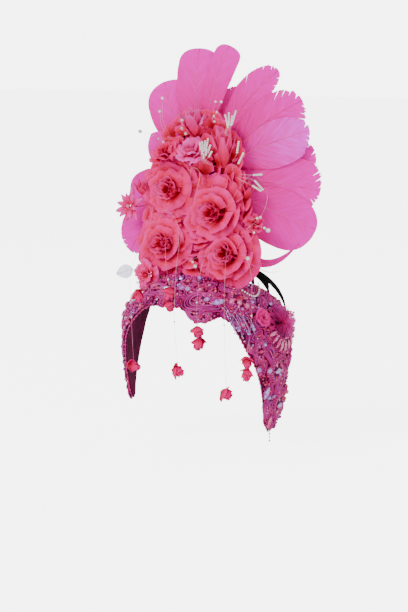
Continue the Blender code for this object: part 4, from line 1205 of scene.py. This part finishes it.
# Sprays: pearls and rods of seed beads on fine stems of clear wire, which rise from the shield
# between the flowers.
SPRAYS = (
    # node, feet (across, up) among the flowers, radius of its rods, then rods (from across, up, out,
    # to across, up, out) and pearls (across, up, out, radius)
    ("spray_upper_left", ((-30, 126), (-30, 112)), 0, (),
     ((-34, 165, 21, 1.7), (-36, 152, 21, 1.6), (-58, 132, 19, 2.0), (-27, 122, 27, 1.3),
      (-33, 125, 26, 1.3))),
    ("spray_bugles_centre", ((20, 101),), 1.1,
     ((16, 115, 30, 15, 123, 30), (18, 115, 31, 18, 124, 31), (20, 114, 31, 21, 125, 31),
      (22, 115, 31, 24, 127, 31), (24, 113, 30, 27, 121, 31), (19, 111, 32, 19, 118, 32),
      (23, 110, 32, 24, 117, 32), (26, 109, 31, 29, 115, 31), (21, 107, 32, 21, 112, 33)), ()),
    ("spray_bugles_top", ((22, 143), (37, 128), (-6, 132)), 1.1,
     ((41, 141, 25, 38, 151, 26), (43, 140, 26, 42, 153, 26), (45, 140, 26, 46, 150, 26),
      (46, 141, 26, 50, 155, 27), (42, 138, 26, 41, 144, 27)),
     ((25, 163, 22, 1.3), (31, 163, 22, 1.5), (27, 153, 22, 1.3), (24, 149, 22, 1.3), (25, 144, 22, 1.2),
      (-9, 144, 24, 1.5), (-9, 136, 24, 1.5), (-4, 131, 25, 1.4))),
    ("spray_rods_right", ((44, 94), (62, 50)), 1.2,
     ((53, 114, 25, 54, 126, 25), (55, 104, 25, 60, 115, 25), (69, 94, 20, 79, 95, 20),
      (71, 89, 20, 81, 80, 20), (69, 84, 20, 79, 79, 20)),
     ((86, 42, 14, 2.4), (82, 44, 14, 1.5), (78, 54, 16, 1.4), (75, 53, 17, 1.4), (73, 39, 18, 1.3))),
    ("spray_pearls_low", ((10, 12), (62, 22)), 0, (),
     ((15, 7, 30, 1.6), (18, 3, 30, 2.1), (71, 14, 24, 2.2))),
)
WIRE_RADIUS, ROD_BEAD = 0.13, 1.7
milk_glass = glass("milk_glass", (0.90, 0.82, 0.82, 1), (0.96, 0.93, 0.92, 1), 200.0, 0.16, 0.8)
clear_wire = tinted("clear_wire", (0.86, 0.16, 0.30, 1), (0.93, 0.45, 0.55, 1), 60.0, Roughness=0.25,
                    Specular_IOR_Level=0.6)
MILK, WIRE = range(2)


def stem_path(feet, across, up, out):
    """Stem from the nearest foot on the shield, out between the petals to a bead."""
    foot_x, foot_up = min(feet, key=lambda foot: math.hypot(foot[0] - across, foot[1] - up))
    return [on_shield(foot_x + (across - foot_x) * share, foot_up + (up - foot_up) * share, place_out)
            for share, place_out in ((0, 0), (0.2, out * 0.6), (0.5, out + 1), (1, out))]


for name, feet, radius, rods, pearls in SPRAYS:
    work = Work()
    for *start, bx, bu, bo in rods:
        near, far = on_shield(*start), on_shield(bx, bu, bo)
        tube(work, smooth(stem_path(feet, *start) + [far], 4), WIRE_RADIUS, 5, WIRE)
        count = max(2, round((far - near).length / ROD_BEAD))
        for k in range(count):
            stamp(work, ROUND, near + (far - near) * (k + 0.5) / count, far - near,
                  (radius, radius, ROD_BEAD * 0.56), MILK)
    for *end, size in pearls:
        path = smooth(stem_path(feet, *end), 5)
        tube(work, path, WIRE_RADIUS, 5, WIRE)
        stamp(work, ROUND, path[-1], path[-1] - path[-3], size, MILK)
    work.make(name + "_beads", (milk_glass, clear_wire), "pearl", name)

# Loose curls: ends of the same clear wire bent over the roses, one fine dyed quill that sticks out
# at the wearer's left, and two strings of tiny pearls sagging on the band.
CURLS = (
    ((40, 60, 16), (66, 94, 18), (84, 78, 18), (80, 56, 18), (66, 42, 20)),
    ((10, 64, 26), (16, 92, 28), (6, 98, 26), (4, 86, 26)),
    ((-30, 40, 24), (-20, 56, 28), (-6, 44, 28), (-2, 20, 28)),
)
HAIR = ((50, 14, 12), (70, 8, 12), (86, 2, 8), (98, 4, 6))
ARCS = (
    # turn and down at the start and at the end, sag between them
    (-48, 78, -32, 77, 4), (61, 62, 84, 62, 13),
)
ARC_STEPS, ARC_LIFT, ARC_PEARL = 16, 10.5, 0.95
HAIR_START, HAIR_TAPER, DYED = 0.7, 0.6, 2
work = Work()
for curl in CURLS:
    tube(work, smooth([on_shield(*point) for point in curl], 7), WIRE_RADIUS, 5, WIRE)
hair = smooth([on_shield(*point) for point in HAIR], 7)
tube(work, hair, [HAIR_START - HAIR_TAPER * k / (len(hair) - 1) for k in range(len(hair))], 5, DYED)
for first_turn, first_down, last_turn, last_down, sag in ARCS:
    for t in (k / ARC_STEPS for k in range(ARC_STEPS + 1)):
        down = first_down + (last_down - first_down) * t + sag * math.sin(math.pi * t)
        stamp(work, ROUND, head_point(first_turn + (last_turn - first_turn) * t, down, ARC_LIFT), upright,
              ARC_PEARL, MILK)
work.make("wire_curls", (milk_glass, clear_wire, pink_barb), "pearl")

# Drops: silk rosebuds on clear nylon thread, tied among the roses, so that they hang in front of
# the brow and cheeks. Each bud is a crumpled wrap of ten small petals, the outer two blown open.
THREAD_RADIUS, THREAD_BEAD, BUD_STRETCH, BUD_KNOT = 0.12, 1.0, 0.86, 0.4
BUD, THREAD, BEAD = range(3)
DROPS = (
    # node, start on the roses (across, up, out), way points, buds (place, radius, length, lean)
    ("drop_temple_right", (-40, 10, 24), ((-36, -84, 4), (-30, -90, -8)), (((-29, -90, -21), 5.0, 13, 20),)),
    ("drop_brow", (-18, 30, 27), ((-2, -84, 14), (6, -94, -2)),
     (((8, -95, -16), 5.6, 13, -12), ((8, -95, -28), 4.8, 11, 25))),
    ("drop_cheek_right", (-34, 58, 27), ((-33, -62, 40), (-32, -98, 6), (-30, -102, -40)),
     (((-28, -102, -88), 4.6, 14, 75),)),
    ("drop_nose", (0, 34, 27), ((14, -92, 12), (20, -108, -40)), (((26, -112, -87), 5.4, 12, 70),)),
    ("drop_eye_left", (34, 22, 30), ((38, -86, 12), (43, -106, -20)),
     (((46, -110, -48), 5.2, 12, 15), ((47, -110, -59), 5.4, 13, -15))),
    ("drop_cheek_left", (50, 26, 26), ((62, -84, 10), (71, -104, -40)), (((74, -105, -106), 5.8, 12, 65),)),
    ("drop_temple_left", (62, 18, 20), ((80, -66, 8), (86, -76, -34)),
     (((83, -80, -79), 4.8, 12, 20), ((83, -80, -91), 5.0, 13, -10))),
)
BUD_WHORLS = (
    (3, 0, 74, (0.06, -0.54), (1.42, -0.26), (0.70, 0.42)),
    (3, 60, 70, (0.06, -0.44), (1.10, -0.08), (0.40, 0.56)),
    (2, 20, 95, (0.06, -0.30), (0.70, 0.10), (0.10, 0.58)),
    (1, 130, 105, (0.06, -0.50), (1.30, -0.36), (1.62, 0.12)),
    (1, 265, 88, (0.06, -0.50), (1.20, -0.46), (1.50, -0.18)),
)
# Its deep colour is painted shade at the petal roots, its light colour a painted highlight on the rims.
bud_silk = silk("bud_silk", (0.60, 0.0, 0.05, 1), (0.86, 0.0, 0.14, 1), (0.94, 0.01, 0.26, 1))
for name, start, way, buds in DROPS:
    luck = random.Random(name)
    work = Work()
    path = [on_shield(*start)] + [Vector(point) for point in way]
    path += [Vector(middle) + upright * (length * BUD_KNOT) for middle, _, length, _ in buds]
    tube(work, smooth(path, 6), THREAD_RADIUS, 5, THREAD)
    for middle, radius, length, lean in buds:
        tilt = (Matrix.Rotation(math.radians(180 + lean), 3, viewer)
                @ Matrix.Rotation(luck.uniform(0, 6.3), 3, "Z"))
        for petals, begin, spread, root_place, belly, rim in BUD_WHORLS:
            scaled = [(a * radius * BUD_STRETCH, b * length) for a, b in (root_place, belly, rim)]
            for k in range(petals):
                petal(work, Vector(middle), *tilt.transposed(), math.radians(begin + 360 * k / petals),
                      math.radians(spread), *scaled, roll=radius * 0.16, ruffle=radius * 0.09, luck=luck,
                      kind=BUD, tuck=radius * 0.14)
    stamp(work, ROUND, Vector(way[-1]), upright, THREAD_BEAD, BEAD)
    work.make(name + "_buds", (bud_silk, clear_wire, milk_glass), "drop_silk", name)

# Organza leaf: one clear lilac leaf with a pressed midrib, on a fine wire from the foot of the
# shield at the wearer's right.
LEAF_FOOT, LEAF_TIP = Vector((-62.0, -40.0, -3.0)), Vector((-84.0, -36.0, -10.0))
LEAF_HALF, LEAF_CROSSWISE, LEAF_LENGTHWISE = 7.0, (-1, -0.5, 0, 0.5, 1), 12
MIDRIB_RADIUS = 0.22
organza = tinted("organza", (0.36, 0.26, 0.82, 1), (0.60, 0.48, 0.94, 1), 180.0, 500.0, Roughness=0.3,
                 Specular_IOR_Level=0.5, Alpha=0.72)
work = Work()
way = LEAF_TIP - LEAF_FOOT
side = way.normalized().cross(viewer).normalized()
points, spots = [], []
for row in range(LEAF_LENGTHWISE + 1):
    t = row / LEAF_LENGTHWISE
    half = LEAF_HALF * math.sin(math.pi * t ** 0.85) ** 0.8 if 0 < t < 1 else 0.0
    for s in LEAF_CROSSWISE:
        wave = 0.9 * math.sin(5 * t + 2 * s) + 1.6 * abs(s)
        points.append(LEAF_FOOT + way * t + side * half * s + viewer * wave)
        spots.append((0.5 + 0.5 * s, t))
work.add(points, quads(LEAF_LENGTHWISE, len(LEAF_CROSSWISE), False), 0, True, spots)
midrib = [on_shield(-30, 2, 0), on_shield(-40, -2, 6), LEAF_FOOT, (LEAF_FOOT + LEAF_TIP) / 2, LEAF_TIP]
tube(work, smooth(midrib, 6), MIDRIB_RADIUS, 5, WIRE)
work.make("organza_leaf", (organza, clear_wire), "pearl")
